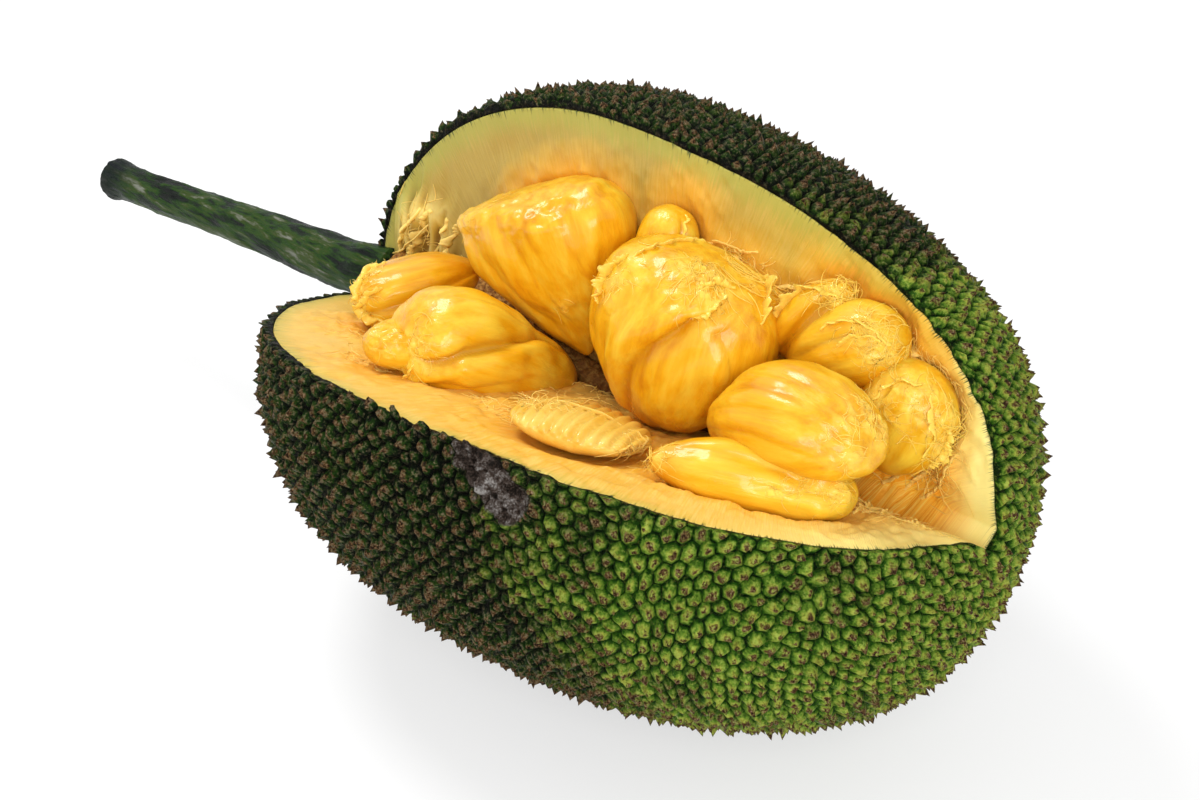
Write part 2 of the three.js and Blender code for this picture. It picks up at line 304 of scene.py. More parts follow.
def lip_mesh(name, path, normals, height, thickness, lean):
    """A closed torn strip that stands on a path and curls over to one side."""
    ahead = unit_rows(np.gradient(path, axis=0))
    across = np.cross(ahead, normals)
    curl = np.stack([0 * lean, 0.25 * lean, lean], axis=1) * height[:, None]
    rise = np.stack([0 * height - 0.8, 0.55 * height, height], axis=1)
    middle = path[:, None] + across[:, None] * curl[..., None] + normals[:, None] * rise[..., None]
    half = across[:, None] * (thickness * np.array([0.5, 0.38, 0.16]))[None, :, None]
    rings = np.concatenate([middle - half, (middle + half)[:, ::-1]], axis=1)
    steps = len(path)
    faces = ring_faces(steps, 6)
    last = (steps - 1) * 6
    faces += [(5, 4, 1, 0), (4, 3, 2, 1)]
    faces += [(last, last + 1, last + 4, last + 5), (last + 1, last + 2, last + 3, last + 4)]
    return build_piece(name, rings.reshape(-1, 3), faces)


def line_noise(t, bends, seed):
    """Noise along a line that turns about as often as it has bends."""
    return noise(np.stack([t * bends, t, t], axis=-1), 1.0, seed, 2)


def lip_height(height, t, seed, ragged):
    """A torn edge's height along its path: low at both ends and ragged between."""
    steps = len(t)
    place = np.stack([t * steps / 9, 0 * t, 0 * t], axis=-1)
    tears = noise(place, 1.0, seed, 3)
    ends = np.sin(np.pi * np.clip(t, 0.002, 0.998)) ** 0.5
    return height * ends * np.clip(0.62 + ragged * tears, 0.06, None)


def wandering(rng, count, reach):
    """Short curved walks on a flat map: how far each step has gone in two directions."""
    t = np.linspace(0, 1, THREAD_STEPS)
    heading = rng.uniform(0, 2 * np.pi, (count, 1)) + rng.normal(0, 1.3, (count, 1)) * t
    step = reach[:, None] / (THREAD_STEPS - 1)
    along = np.cumsum(np.cos(heading) * step, axis=1)
    around = np.cumsum(np.sin(heading) * step, axis=1)
    return along, around


def thread_rise(rng, rise, count, bowed, sunk):
    """How high each step of loose threads stands, from their sunk roots up."""
    t = np.linspace(0, 1, THREAD_STEPS)
    return rise * rng.uniform(0.1, 1.5, (count, 1)) * t ** rng.uniform(0.8, bowed, (count, 1)) - sunk


def thread_radii(rng, radii, count):
    t = np.linspace(0, 1, THREAD_STEPS)
    return rng.uniform(*radii, (count, 1)) * (1 - THREAD_TAPER * t)


# ---------------------------------------------------------------- the fruit's skin as a formula

def profile_radius(u):
    """The skin's middle distance from the axis, which is greatest a little towards the stalk."""
    stalk_side = u < WIDEST_AT
    reach = np.where(stalk_side, WIDEST_AT + 1, 1 - WIDEST_AT)
    power = np.where(stalk_side, 1 / STALK_END_ROUND, 1 / BLOSSOM_END_ROUND)
    w = np.clip(np.abs(u - WIDEST_AT) / reach, 0, 1)
    return SKIN_RADIUS * (1 - w * w) ** power


def section_share(angle):
    """What that distance is multiplied by at each angle round the axis."""
    share = np.ones_like(angle)
    for turns, cosine, sine in SECTION_WAVES:
        share += cosine * np.cos(turns * angle) + sine * np.sin(turns * angle)
    return share


def skin_point(u, angle, lift):
    """Points of the skin at u (-1 at the stalk, 1 at the blossom end), moved out by lift."""
    u, angle, lift = np.broadcast_arrays(*(np.asarray(v, float) for v in (u, angle, lift)))
    radius = profile_radius(u) * section_share(angle) + lift * np.sqrt(np.clip(1 - u * u, 0, 1))
    return AXIS_MIDDLE + np.stack([
        u * (HALF_LENGTH + lift), radius * np.cos(angle), radius * np.sin(angle),
    ], axis=-1)


def smooth_body(name, lift, ring_count, sides):
    """A closed body that follows the skin without its spines, moved out by lift."""
    u = -np.cos(np.pi * (np.arange(ring_count) + 0.6) / (ring_count + 0.2))
    angle = turn(sides)
    rings = skin_point(u[:, None], angle[None, :], lift)
    ends = (skin_point(-1, 0, lift), skin_point(1, 0, lift))
    return build_piece(name, *loft(ends[0], rings, ends[1]))


def outwards(cut):
    """The way a cut face looks, as a normal that also leans along the axis."""
    return np.array([-cut["drift"] / HALF_LENGTH, math.cos(cut["facing"]), math.sin(cut["facing"])])


NEAR_NORMAL = outwards(NEAR_CUT)
FAR_NORMAL = outwards(FAR_CUT)


def apex_line(x):
    """The line where the two cut faces meet, at each x."""
    pair = np.array([NEAR_NORMAL[1:], FAR_NORMAL[1:]])
    from_middle = np.asarray(x, float) - AXIS_MIDDLE[0]
    sides = np.stack([
        NEAR_CUT["past"] - NEAR_NORMAL[0] * from_middle,
        FAR_CUT["past"] - FAR_NORMAL[0] * from_middle,
    ])
    yz = np.linalg.solve(pair, sides.reshape(2, -1)).reshape(2, *from_middle.shape)
    return np.stack([x, yz[0] + AXIS_MIDDLE[1], yz[1] + AXIS_MIDDLE[2]], axis=-1)


# ---------------------------------------------------------------- bulbs

# up is the direction that a pod's thickness is measured in, before it is squared to its axis.
LYING = unit(NEAR_NORMAL)
STANDING = unit(FAR_NORMAL)
LEANING = unit(LYING + 0.6 * STANDING)


@dataclass
class Pod:
    """A bulb from its base to its tip. A place on it is an angle in degrees round it and a share of
    the way along it. A crease is (depth, width in degrees, ((share, angle), ...)), and a negative
    width turns its overlapping lip to the other side. A lobe or a wet crumpled patch is (angle,
    share, spread in degrees, spread in share, height). Fuzz is (angle, share, spread in degrees,
    spread in share, threads, length, lift), and a torn lip is (height, lean, ((share, angle), ...))."""
    base: tuple
    tip: tuple
    half_width: float
    half_depth: float
    up: np.ndarray
    taper: float
    bend: float = 0.0
    tone: float = 0.5
    creases: tuple = ()
    lobes: tuple = ()
    wet: tuple = ()
    fuzz: tuple = ()
    lips: tuple = ()
    ribs: float = 0.0
    fineness: float = 1.0


BULBS = {
    "bulb_6": Pod(
        (56, -22, 123), (70, -11, 194), 39, 29, STANDING, 0.3, tone=0.62, fineness=1.5,
        creases=((0.16, 5.5, ((0.05, 76), (0.41, 88), (0.62, 101), (0.83, 121), (0.93, 148))),
                 (0.05, 5, ((0.30, 60), (0.60, 66), (0.85, 84), (0.97, 110))),
                 (0.04, -5, ((0.20, 98), (0.50, 118), (0.72, 134))),
                 (0.03, 5, ((0.25, 48), (0.55, 50), (0.80, 62))),
                 (0.045, 7, ((0.55, 158), (0.80, 142), (0.93, 165)))),
        lobes=((172, 0.80, 22, 0.22, 0.07), (104, 0.45, 18, 0.30, 0.05), (60, 0.6, 20, 0.3, 0.03),
               (222, 0.90, 26, 0.10, 0.22), (128, 0.97, 26, 0.04, -0.22), (44, 0.88, 16, 0.08, 0.07)),
        wet=((66, 0.72, 22, 0.16, 0.7), (98, 0.86, 22, 0.08, 0.5)),
        fuzz=((128, 0.92, 26, 0.07, 70, 6, 1.9), (122, 0.98, 50, 0.03, 34, 7, 1.8),
              (58, 0.80, 9, 0.10, 30, 6, 2.6), (222, 0.94, 26, 0.05, 50, 8, 3.4)),
        lips=((7.0, 0.1, ((0.60, 50), (0.68, 53), (0.76, 51), (0.84, 49), (0.90, 48))),
              (2.4, 0.5, ((0.90, 52), (0.96, 44), (0.985, 20), (0.99, -30), (0.97, -60))),
              (6.5, -0.3, ((0.86, 176), (0.92, 192), (0.95, 215), (0.93, 236))),
              (2.4, 0.4, ((0.84, 122), (0.90, 132), (0.95, 150))),
              (3.0, -0.3, ((0.93, 118), (0.96, 140), (0.965, 165))))),
    "bulb_2": Pod(
        (4, -11, 126), (-25, -13, 192), 41, 27, STANDING, 0.85, tone=0.66, fineness=1.5,
        creases=((0.06, 7, ((0.10, 108), (0.50, 104), (0.80, 92), (0.95, 80))),
                 (0.05, -7, ((0.05, 128), (0.45, 134), (0.70, 140), (0.88, 137))),
                 (0.035, 5, ((0.15, 146), (0.50, 152), (0.78, 158))),
                 (0.045, 6, ((0.20, 84), (0.60, 70), (0.90, 50)))),
        lobes=((134, 0.895, 14, 0.035, -0.10), (160, 0.80, 20, 0.16, 0.08), (112, 0.975, 15, 0.035, -0.14),
               (95, 0.90, 16, 0.08, 0.08), (41, 0.94, 44, 0.075, 0.21), (176, 0.955, 26, 0.04, 0.16),
               (150, 0.955, 14, 0.030, -0.10), (120, 0.80, 14, 0.06, 0.05), (66, 0.965, 20, 0.03, 0.12)),
        wet=((78, 0.93, 22, 0.05, 1.3), (112, 0.86, 16, 0.06, 1.3), (128, 0.78, 9, 0.06, 1.0),
             (60, 0.86, 16, 0.07, 1.2), (100, 0.80, 10, 0.05, 0.7),
             (132, 0.91, 18, 0.05, 0.7)),
        fuzz=((110, 0.35, 12, 0.05, 5, 5, 1.5), (44, 0.90, 14, 0.08, 14, 7, 0.6))),
    "bulb_3": Pod(
        (1, -16, 114), (-18, -86, 155), 26, 23, LYING, 0.6, tone=0.30, fineness=1.4,
        creases=((0.20, 8, ((0.97, -34), (0.91, -24), (0.81, 4), (0.67, 20), (0.36, 54), (0.10, 66))),
                 (0.04, 6, ((0.90, 96), (0.50, 90), (0.15, 84))),
                 (0.04, -5, ((0.85, -40), (0.60, -14), (0.35, 2))),
                 (0.03, 5, ((0.88, 70), (0.60, 62), (0.30, 64)))),
        lobes=((60, 0.75, 30, 0.20, 0.06), (-12, 0.60, 20, 0.25, 0.05), (300, 0.93, 22, 0.05, 0.14),
               (345, 0.975, 26, 0.02, 0.10), (10, 0.95, 16, 0.03, -0.08)),
        wet=((352, 0.96, 26, 0.05, 1.1), (300, 0.93, 20, 0.06, 1.2), (20, 0.93, 16, 0.05, 0.5)),
        fuzz=((330, 0.97, 50, 0.04, 50, 5, 0.9),),
        lips=((2.6, 0.2, ((0.88, 282), (0.93, 290), (0.955, 302), (0.965, 318))),)),
    "bulb_11": Pod(
        (103, -68, 143), (165, -25, 137), 16, 13, LYING, 0.25, tone=0.18, fineness=1.1,
        creases=((0.09, 9, ((0.15, 120), (0.50, 128), (0.75, 150))),
                 (0.06, -7, ((0.55, 178), (0.80, 168), (0.95, 160)))),
        lobes=((128, 0.86, 24, 0.08, 0.26), (120, 0.55, 26, 0.12, -0.10), (110, 0.30, 34, 0.15, 0.12),
               (170, 0.965, 30, 0.03, 0.26), (150, 0.74, 18, 0.05, -0.14), (196, 0.86, 20, 0.06, 0.20),
               (176, 0.55, 20, 0.10, -0.08), (120, 0.97, 24, 0.02, -0.14)),
        wet=((140, 0.24, 26, 0.10, 0.3), (150, 0.95, 30, 0.04, 0.6)),
        fuzz=((145, 0.76, 26, 0.06, 40, 5, 0.6), (172, 0.62, 16, 0.10, 30, 5, 0.8),
              (156, 0.90, 26, 0.06, 36, 5, 0.8),
              (160, 0.04, 50, 0.03, 30, 8, 2.0))),
    "bulb_9": Pod(
        (97, -28, 141), (173, -27, 160), 21, 17, LEANING, 0.3, bend=0.14, tone=0.85, fineness=1.3,
        creases=((0.05, 7, ((0.15, 138), (0.55, 134), (0.90, 126))),
                 (0.045, -6, ((0.15, 112), (0.55, 110), (0.88, 104))),
                 (0.035, 6, ((0.20, 88), (0.60, 84), (0.85, 88))),
                 (0.06, 8, ((0.12, 166), (0.50, 164), (0.85, 170)))),
        lobes=((60, 0.40, 40, 0.20, 0.05), (150, 0.90, 26, 0.08, -0.06), (80, 0.93, 26, 0.06, -0.05)),
        wet=((90, 0.30, 26, 0.10, 0.35),),
        fuzz=((80, 0.92, 60, 0.06, 26, 4, 0.7), (40, 0.95, 40, 0.05, 26, 5, 1.4),
              (150, 0.97, 40, 0.03, 18, 4, 1.2))),
    "bulb_1": Pod(
        (-55, -20, 145), (-76, -68, 137), 18, 14, LYING, 0.3, tone=0.75, fineness=1.0,
        creases=((0.12, 8, ((0.98, -10), (0.75, 0), (0.40, 8), (0.05, 14))),
                 (0.035, -8, ((0.95, 40), (0.60, 36), (0.20, 40))),
                 (0.03, 8, ((0.90, 72), (0.50, 66), (0.15, 70))),
                 (0.03, -7, ((0.92, 104), (0.55, 100), (0.20, 98)))),
        lobes=((20, 0.55, 14, 0.3, 0.05), (56, 0.90, 20, 0.08, 0.12), (100, 0.86, 14, 0.05, 0.10)),
        wet=((30, 0.75, 24, 0.14, 0.5), (60, 0.90, 30, 0.07, 0.8)),
        fuzz=((50, 0.95, 70, 0.05, 60, 6, 1.6), (90, 0.80, 16, 0.06, 22, 5, 2.0)),
        lips=((3.4, 0.4, ((0.66, 96), (0.80, 92), (0.90, 76), (0.96, 56), (0.985, 20), (0.97, -20))),
              (4.2, -0.5, ((0.80, -30), (0.92, -14), (0.97, 10), (0.90, 34), (0.78, 40))))),
    "bulb_5": Pod(
        (35, -4, 160), (40, 2, 199), 13, 11, STANDING, 0.3, tone=0.30, fineness=0.9,
        creases=((0.14, 9, ((0.98, 150), (0.60, 136), (0.20, 126))),
                 (0.05, 7, ((0.95, 96), (0.55, 92), (0.20, 92)))),
        lobes=((168, 0.85, 22, 0.12, 0.10), (90, 0.97, 30, 0.03, -0.10)),
        wet=((84, 0.86, 24, 0.08, 0.7), (120, 0.95, 30, 0.04, 0.5)),
        lips=((1.6, 0.8, ((0.45, 140), (0.75, 146), (0.94, 158), (0.985, 190))),)),
    "bulb_10": Pod(
        (144, 5, 132), (163, 14, 172), 20, 14, STANDING, 0.2, tone=0.22, fineness=1.2,
        creases=((0.10, 9, ((0.95, 60), (0.60, 74), (0.20, 82))),
                 (0.08, -8, ((0.90, 130), (0.55, 118), (0.30, 120)))),
        lobes=((110, 0.35, 22, 0.14, 0.08), (90, 0.80, 20, 0.10, 0.05), (150, 0.90, 24, 0.08, 0.16)),
        wet=((100, 0.75, 50, 0.16, 0.7), (60, 0.60, 30, 0.16, 0.5)),
        fuzz=((96, 0.88, 60, 0.10, 44, 5, 1.0), (140, 0.80, 40, 0.16, 44, 6, 2.2),
              (165, 0.62, 20, 0.14, 60, 9, 3.4), (70, 0.62, 20, 0.10, 30, 6, 0.8)),
        lips=((3.0, 0.5, ((0.55, 70), (0.75, 62), (0.90, 70), (0.97, 100))),
              (3.6, -0.5, ((0.45, 150), (0.66, 146), (0.85, 136), (0.95, 120))),
              (4.2, 0.6, ((0.40, 172), (0.60, 170), (0.80, 160))))),
    "bulb_8": Pod(
        (103, 4, 159), (149, 12, 183), 17, 14, STANDING, 0.2, tone=0.40, fineness=1.1,
        creases=((0.12, 9, ((0.20, 84), (0.50, 72), (0.80, 66))),
                 (0.05, -7, ((0.30, 112), (0.60, 106), (0.90, 100)))),
        lobes=((100, 0.70, 20, 0.15, 0.06), (110, 0.35, 26, 0.15, 0.05), (60, 0.92, 30, 0.06, 0.10)),
        wet=((90, 0.70, 30, 0.14, 0.5),),
        fuzz=((64, 0.84, 26, 0.10, 50, 7, 1.6), (100, 0.95, 50, 0.04, 70, 8, 1.6),
              (112, 0.86, 20, 0.08, 26, 5, 1.2)),
        lips=((3.6, 0.4, ((0.50, 56), (0.66, 52), (0.82, 54), (0.93, 70), (0.975, 104))),
              (2.2, -0.3, ((0.62, 80), (0.78, 72), (0.90, 78), (0.96, 100))))),
    "bulb_7": Pod(
        (97, 5, 159), (121, 13, 191), 11, 9, STANDING, 0.1, bend=0.1, tone=0.60, fineness=0.9,
        creases=((0.35, 18, ((0.10, 100), (0.50, 92), (0.90, 84))),),
        lobes=((60, 0.85, 20, 0.15, 0.12), (130, 0.70, 20, 0.2, 0.10)),
        wet=((110, 0.85, 40, 0.10, 0.8),),
        fuzz=((90, 0.95, 60, 0.05, 60, 8, 2.2), (140, 0.96, 30, 0.04, 40, 9, 2.8)),
        lips=((5.0, 0.7, ((0.30, 44), (0.55, 36), (0.75, 36), (0.90, 60), (0.96, 100))),
              (4.4, 0.6, ((0.45, 128), (0.70, 126), (0.88, 128), (0.965, 150))))),
    "bulb_4": Pod(
        (-16, -48, 139), (-24, -99, 148), 15, 9, LYING, 0.3, tone=0.5, fineness=1.0,
        creases=((0.10, 10, ((0.95, 60), (0.50, 64), (0.20, 70))),
                 (0.06, -8, ((0.95, 100), (0.60, 98), (0.30, 96)))),
        wet=((90, 0.75, 70, 0.25, 2.0), (50, 0.90, 30, 0.10, 1.4)),
        fuzz=((60, 0.95, 60, 0.05, 12, 6, 0.8),)),
    "husk": Pod(
        (57, -48, 133), (75, -88, 147), 27, 7, LYING, 0.1, tone=0.0, ribs=1.0, fineness=1.2,
        lobes=((352, 0.62, 16, 0.16, -0.30), (350, 0.90, 24, 0.10, 0.06)),
        fuzz=((128, 0.62, 10, 0.16, 30, 9, 4.5), (0, 0.64, 18, 0.12, 40, 9, 1.4)),
        lips=((2.0, 0.6, ((0.40, 352), (0.52, 6), (0.70, 12), (0.85, 4))),)),
}
BULB_ROUNDNESS = 0.78
TAPER_FALL = 1.2
BULB_RINGS, BULB_SIDES = 96, 112
RIB_SPACING = 4.6
BULB_LIP_STEPS, BULB_LIP_THICKNESS = 110, 1.1
BULB_THREAD_RADII = (0.14, 0.34)
THREAD_SHARES = (0.01, 0.995)


def bulb_axes(pod):
    """A pod's length and the directions of its length, its thickness and its width."""
    axis = np.subtract(pod.tip, pod.base).astype(float)
    length = np.linalg.norm(axis)
    axis = axis / length
    up = unit(pod.up - axis * np.dot(pod.up, axis))
    return length, axis, up, -np.cross(axis, up)


def bulb_swell(pod, t):
    """The share of the way along and the fullness of a pod at steps t from 0 to 1."""
    s = (1 - np.cos(np.pi * t)) / 2
    size = np.sin(np.pi * t) ** BULB_ROUNDNESS * (1 - pod.taper * (1 - s) ** TAPER_FALL)
    return s, size


def bulb_distance(points, pod):
    """About how far points lie from a pod's skin, below zero inside it."""
    length, axis, up, side = bulb_axes(pod)
    away = points - pod.base
    s = away @ axis / length
    bow = pod.bend * length * 4 * s * (1 - s)
    across = np.hypot((away @ side) / pod.half_width, (away @ up - bow) / pod.half_depth)
    along = (s - 0.5) * 2
    narrow = 1 - pod.taper * np.clip(1 - s, 0, 1) ** TAPER_FALL
    reach = np.sqrt(along ** 2 + (across / np.maximum(narrow, 0.15)) ** 2)
    return (reach - 1) * min(pod.half_width, pod.half_depth, length / 2) * 1.1


def crease_shares(pod, degrees, s_grid):
    """How deep the creases are at each point, and how high the lips beside them stand."""
    dip = np.zeros(s_grid.shape)
    lip = np.zeros(s_grid.shape)
    for depth, width, path in pod.creases:
        shares, angles = np.array(sorted(path)).T
        off = (degrees - np.interp(s_grid, shares, angles) + 180) % 360 - 180
        off = off / width
        ends = smoothstep(shares[0] - 0.10, shares[0] + 0.08, s_grid)
        ends = ends * (1 - smoothstep(shares[-1] - 0.08, shares[-1] + 0.06, s_grid))
        steep = np.exp(-np.abs(off * 1.9) ** 1.3)
        gentle = np.exp(-np.abs(off / 1.7) ** 1.2)
        dip += depth * np.where(off < 0, steep, gentle) * ends
        lip += 0.45 * depth * np.exp(-((off + 2.0) / 1.5) ** 2) * ends
    return dip, lip


def patches(listed, degrees, s_grid):
    """The height of soft round patches at each point of a pod, added up."""
    total = np.zeros(s_grid.shape)
    for at, share, spread_angle, spread_share, height in listed:
        off = ((degrees - at + 180) % 360 - 180) / spread_angle
        total += height * np.exp(-off ** 2 - ((s_grid - share) / spread_share) ** 2)
    return total


def grid_normals(grid):
    """Outward normals of rings of points that follow each other."""
    ahead = np.gradient(grid, axis=0)
    around = np.roll(grid, -1, axis=1) - np.roll(grid, 1, axis=1)
    return unit_rows(np.cross(around, ahead))


def grid_value(grid, shares, share, degrees):
    """A value anywhere on a pod, blended from the four grid points round the place."""
    row = np.interp(share, shares, np.arange(len(shares)))
    column = np.asarray(degrees) / 360 * grid.shape[1]
    low_row = np.clip(np.floor(row).astype(int), 0, len(shares) - 2)
    low_column = np.floor(column).astype(int)
    down, over = (row - low_row)[..., None], (column - low_column)[..., None]
    left, right = low_column % grid.shape[1], (low_column + 1) % grid.shape[1]
    first = grid[low_row, left] * (1 - over) + grid[low_row, right] * over
    second = grid[low_row + 1, left] * (1 - over) + grid[low_row + 1, right] * over
    return first * (1 - down) + second * down


def name_seed(name):
    return sum(map(ord, name))


def bulb_grid(name, pod):
    """Rings of points on a pod, its ring places, and each point's share of crease and of matting."""
    ring_count, sides = int(BULB_RINGS * pod.fineness), int(BULB_SIDES * pod.fineness)
    length, axis, up, side = bulb_axes(pod)
    t = (np.arange(ring_count) + 0.35) / (ring_count - 0.3)
    s, size = bulb_swell(pod, t)
    fullest = bulb_swell(pod, np.linspace(0.05, 0.95, 91))[1].max()
    angle = turn(sides)[None, :]
    degrees = np.degrees(angle)
    s_grid = np.broadcast_to(s[:, None], (ring_count, sides))
    dip, lip = crease_shares(pod, degrees, s_grid)
    share = (size / fullest)[:, None] * (1 - dip + lip + patches(pod.lobes, degrees, s_grid))
    bow = pod.bend * length * 4 * s * (1 - s)
    centre = pod.base + axis * (s * length)[:, None] + up * bow[:, None]
    grid = (centre[:, None, :] + side * (pod.half_width * share * np.cos(angle))[..., None]
            + up * (pod.half_depth * share * np.sin(angle))[..., None])
    seed = name_seed(name)
    local = (grid - pod.base) @ np.stack([side, up, axis], axis=1)
    plump = min(1.0, pod.half_depth / 20)
    lift = 1.5 * plump * noise(local, 15.0, seed, 2)
    lift += 0.58 * plump * noise(local, (4.6, 4.6, 44.0), seed + 5, 2)
    lift += 0.06 * noise(local, (1.3, 1.3, 18.0), seed + 9, 2)
    crumple = 1 - 2.4 * np.abs(noise(local, (3.6, 3.6, 5.0), seed + 20, 3))
    lift += 0.8 * patches(pod.wet, degrees, s_grid) * crumple
    if pod.ribs:
        wobble = 1.2 * noise(local, 14.0, seed + 30, 1)
        rib = np.abs(np.sin(np.pi * (local[..., 0] + wobble) / RIB_SPACING))
        lift += pod.ribs * (2.2 * rib - 1.3) * np.clip(np.sin(angle), 0, 1) ** 0.5
    matted = patches([(*spot[:4], 1.0) for spot in pod.fuzz], degrees, s_grid)
    matted = np.clip(matted, 0, 1)
    matted = matted * smoothstep(-0.3, 0.3, noise(local, (3.0, 3.0, 7.0), seed + 40, 2))
    lift += 1.1 * matted * (1 - 2 * np.abs(noise(local, (1.8, 1.8, 6.0), seed + 50, 2)))
    lift = lift * np.minimum(1, share * 4)
    grid = grid + grid_normals(grid) * lift[..., None]
    return grid, s, dip, matted


def bulb_piece(name, pod):
    length, axis, up, side = bulb_axes(pod)
    grid, s, dip, matted = bulb_grid(name, pod)
    normals = grid_normals(grid)
    obj = build_piece(name + "_skin", *loft(grid[0].mean(axis=0), grid, grid[-1].mean(axis=0)))
    crease = np.clip(np.concatenate([[0], dip.ravel(), [0]]) / 0.14, 0, 1) ** 1.8
    rng = np.random.default_rng(name_seed(name))
    for at, share, spread_angle, spread_share, count, reach, rise in pod.fuzz:
        along, around = wandering(rng, count, reach * rng.uniform(0.5, 1.4, count))
        shares = share + spread_share * rng.normal(0, 0.6, (count, 1)) + along / length
        shares = np.clip(shares, *THREAD_SHARES)
        narrow = np.sqrt(np.clip(1 - (2 * shares - 1) ** 2, 0.08, 1))
        wide = (pod.half_width + pod.half_depth) / 2 * narrow
        degrees = at + spread_angle * rng.normal(0, 0.6, (count, 1)) + np.degrees(around / wide)
        high = thread_rise(rng, rise, count, bowed=2.2, sunk=0.15)
        paths = grid_value(grid, s, shares, degrees)
        paths = paths + unit_rows(grid_value(normals, s, shares, degrees)) * high[..., None]
        join(obj, thread_mesh("threads", paths, thread_radii(rng, BULB_THREAD_RADII, count)))
    for index, (height, lean, path) in enumerate(pod.lips):
        t, shares, degrees = along_path(path, BULB_LIP_STEPS)
        shares = np.clip(shares, *THREAD_SHARES)
        degrees = degrees + 3 * line_noise(t, 9, 7 + index)
        foot = grid_value(grid, s, shares, degrees)
        stand = unit_rows(grid_value(normals, s, shares, degrees))
        seed = name_seed(name) + index
        bend = lean * (1 + 0.8 * line_noise(t, 14, seed + 3))
        join(obj, lip_mesh("lip", foot, stand, lip_height(height, t, seed, 0.8), BULB_LIP_THICKNESS, bend))
    points = mesh_points(obj)
    across, upward, along = ((points - pod.base) @ np.stack([side, up, axis], axis=1)).T
    pale = np.ones(len(points))
    pale[:len(crease)] = np.concatenate([[0], 0.8 * matted.ravel(), [0]])
    set_attributes(obj, crease=np.pad(crease, (0, len(points) - len(crease))), pale=pale,
                   tone=np.full(len(points), pod.tone), across=across, upward=upward, along=along)
    return obj


# ---------------------------------------------------------------- cut faces

FACE_STEP = 1.17
FACE_REACH = 132.0
FACE_ENDS = (-136.0, 203.0)
RAG_LUMP = {"at": (-100.0, -13.0, 146.0), "spread": (18.0, 18.0), "height": 7.0}
HOLLOW = {"at": (154.0, 8.0, 128.0), "spread": (15.0, 13.0), "height": -9.0}
NEAR_SLOPE = np.array([0, -math.sin(NEAR_CUT["facing"]), math.cos(NEAR_CUT["facing"])])
FAR_SLOPE = np.array([0, math.sin(FAR_CUT["facing"]), -math.cos(FAR_CUT["facing"])])


def nearest_bulb(points):
    return np.min([bulb_distance(points, pod) for pod in BULBS.values()], axis=0)


def bump_at(points, bump):
    """A soft lump or hollow on a face: x is across and the rest of the way is along the slope."""
    off = points - bump["at"]
    across = np.abs(off[..., 0]) / bump["spread"][0]
    along = np.hypot(off[..., 1], off[..., 2]) / bump["spread"][1]
    return bump["height"] * np.exp(-across ** 2 - along ** 2)


def rag_folds(points):
    """Where the torn rags by the stalk lie, and how far up their folds each point is."""
    share = bump_at(points, RAG_LUMP) / RAG_LUMP["height"]
    return share, 1 - 2.2 * np.abs(noise(points, (5.0, 24.0, 24.0), 29, 2))


def face_relief(points, reach):
    """How far the cut face stands out at each point: grooves round the bulbs, torn fibre near the
    core and a smooth knife cut towards the rind."""
    gap = nearest_bulb(points)
    torn = 1 - smoothstep(4, 24, gap)
    groove = -3.6 * np.exp(-np.clip(gap, 0, None) / 2.2)
    rim = 1.9 * torn * (0.55 + noise(points, 7.0, 3, 2)) * (gap > 0) * smoothstep(1.5, 5, gap)
    fibres = 0.4 * noise(points, (1.6, 14.0, 14.0), 11, 2) * (0.15 + torn)
    shreds = 0.9 * torn * (1 - 2.2 * np.abs(noise(points, (4.0, 7.0, 7.0), 17, 3)))
    trough = -4.0 * np.exp(-(reach / 9.0) ** 2) + 1.6 * torn * noise(points, 9.0, 5, 3)
    rag_share, fold = rag_folds(points)
    bumps = RAG_LUMP["height"] * rag_share * fold + bump_at(points, HOLLOW)
    rough = 1 - smoothstep(60, 85, reach)
    knife = 0.5 * (1 - torn) * noise(points, (70.0, 9.0, 9.0), 23, 1)
    return groove + rim + fibres + (shreds + trough) * rough + bumps + knife


def face_places(x, reach, lift, far):
    """Places on a cut face, x along the fruit and reach up the slope from the core."""
    flat = apex_line(x) + (FAR_SLOPE if far else NEAR_SLOPE) * reach[..., None]
    return flat + (STANDING if far else LYING) * (face_relief(flat, reach) + lift)[..., None]


def wedge_cutter(name):
    """The space that the knife and the fingers have emptied, with its two faces finely made."""
    x = np.arange(FACE_ENDS[0], FACE_ENDS[1], FACE_STEP)
    reach = np.arange(FACE_REACH, -1e-6, -FACE_STEP)
    apex = apex_line(x)[:, None, :]
    near = apex + NEAR_SLOPE * reach[None, :, None]
    far = apex + FAR_SLOPE * reach[::-1][None, 1:, None]
    near = near + LYING * face_relief(near, reach[None, :])[..., None]
    far = far + STANDING * face_relief(far, reach[::-1][None, 1:])[..., None]
    outer = apex + (NEAR_SLOPE + FAR_SLOPE) * FACE_REACH * 1.4
    rings = np.concatenate([near, far, outer], axis=1)
    obj = build_piece(name, rings.reshape(-1, 3), tube_faces(*rings.shape[:2]))
    triangulate(obj)
    return obj


def skin_depths(points):
    """How far each point lies below the skin."""
    u = np.tanh(np.linspace(-3.2, 3.2, 150))
    angle = np.linspace(0, 2 * np.pi, 130, endpoint=False)
    skin = skin_point(u[:, None], angle[None, :], 0).reshape(-1, 3)
    tree = point_tree(skin)
    return np.array([tree.find(place)[2] for place in points])


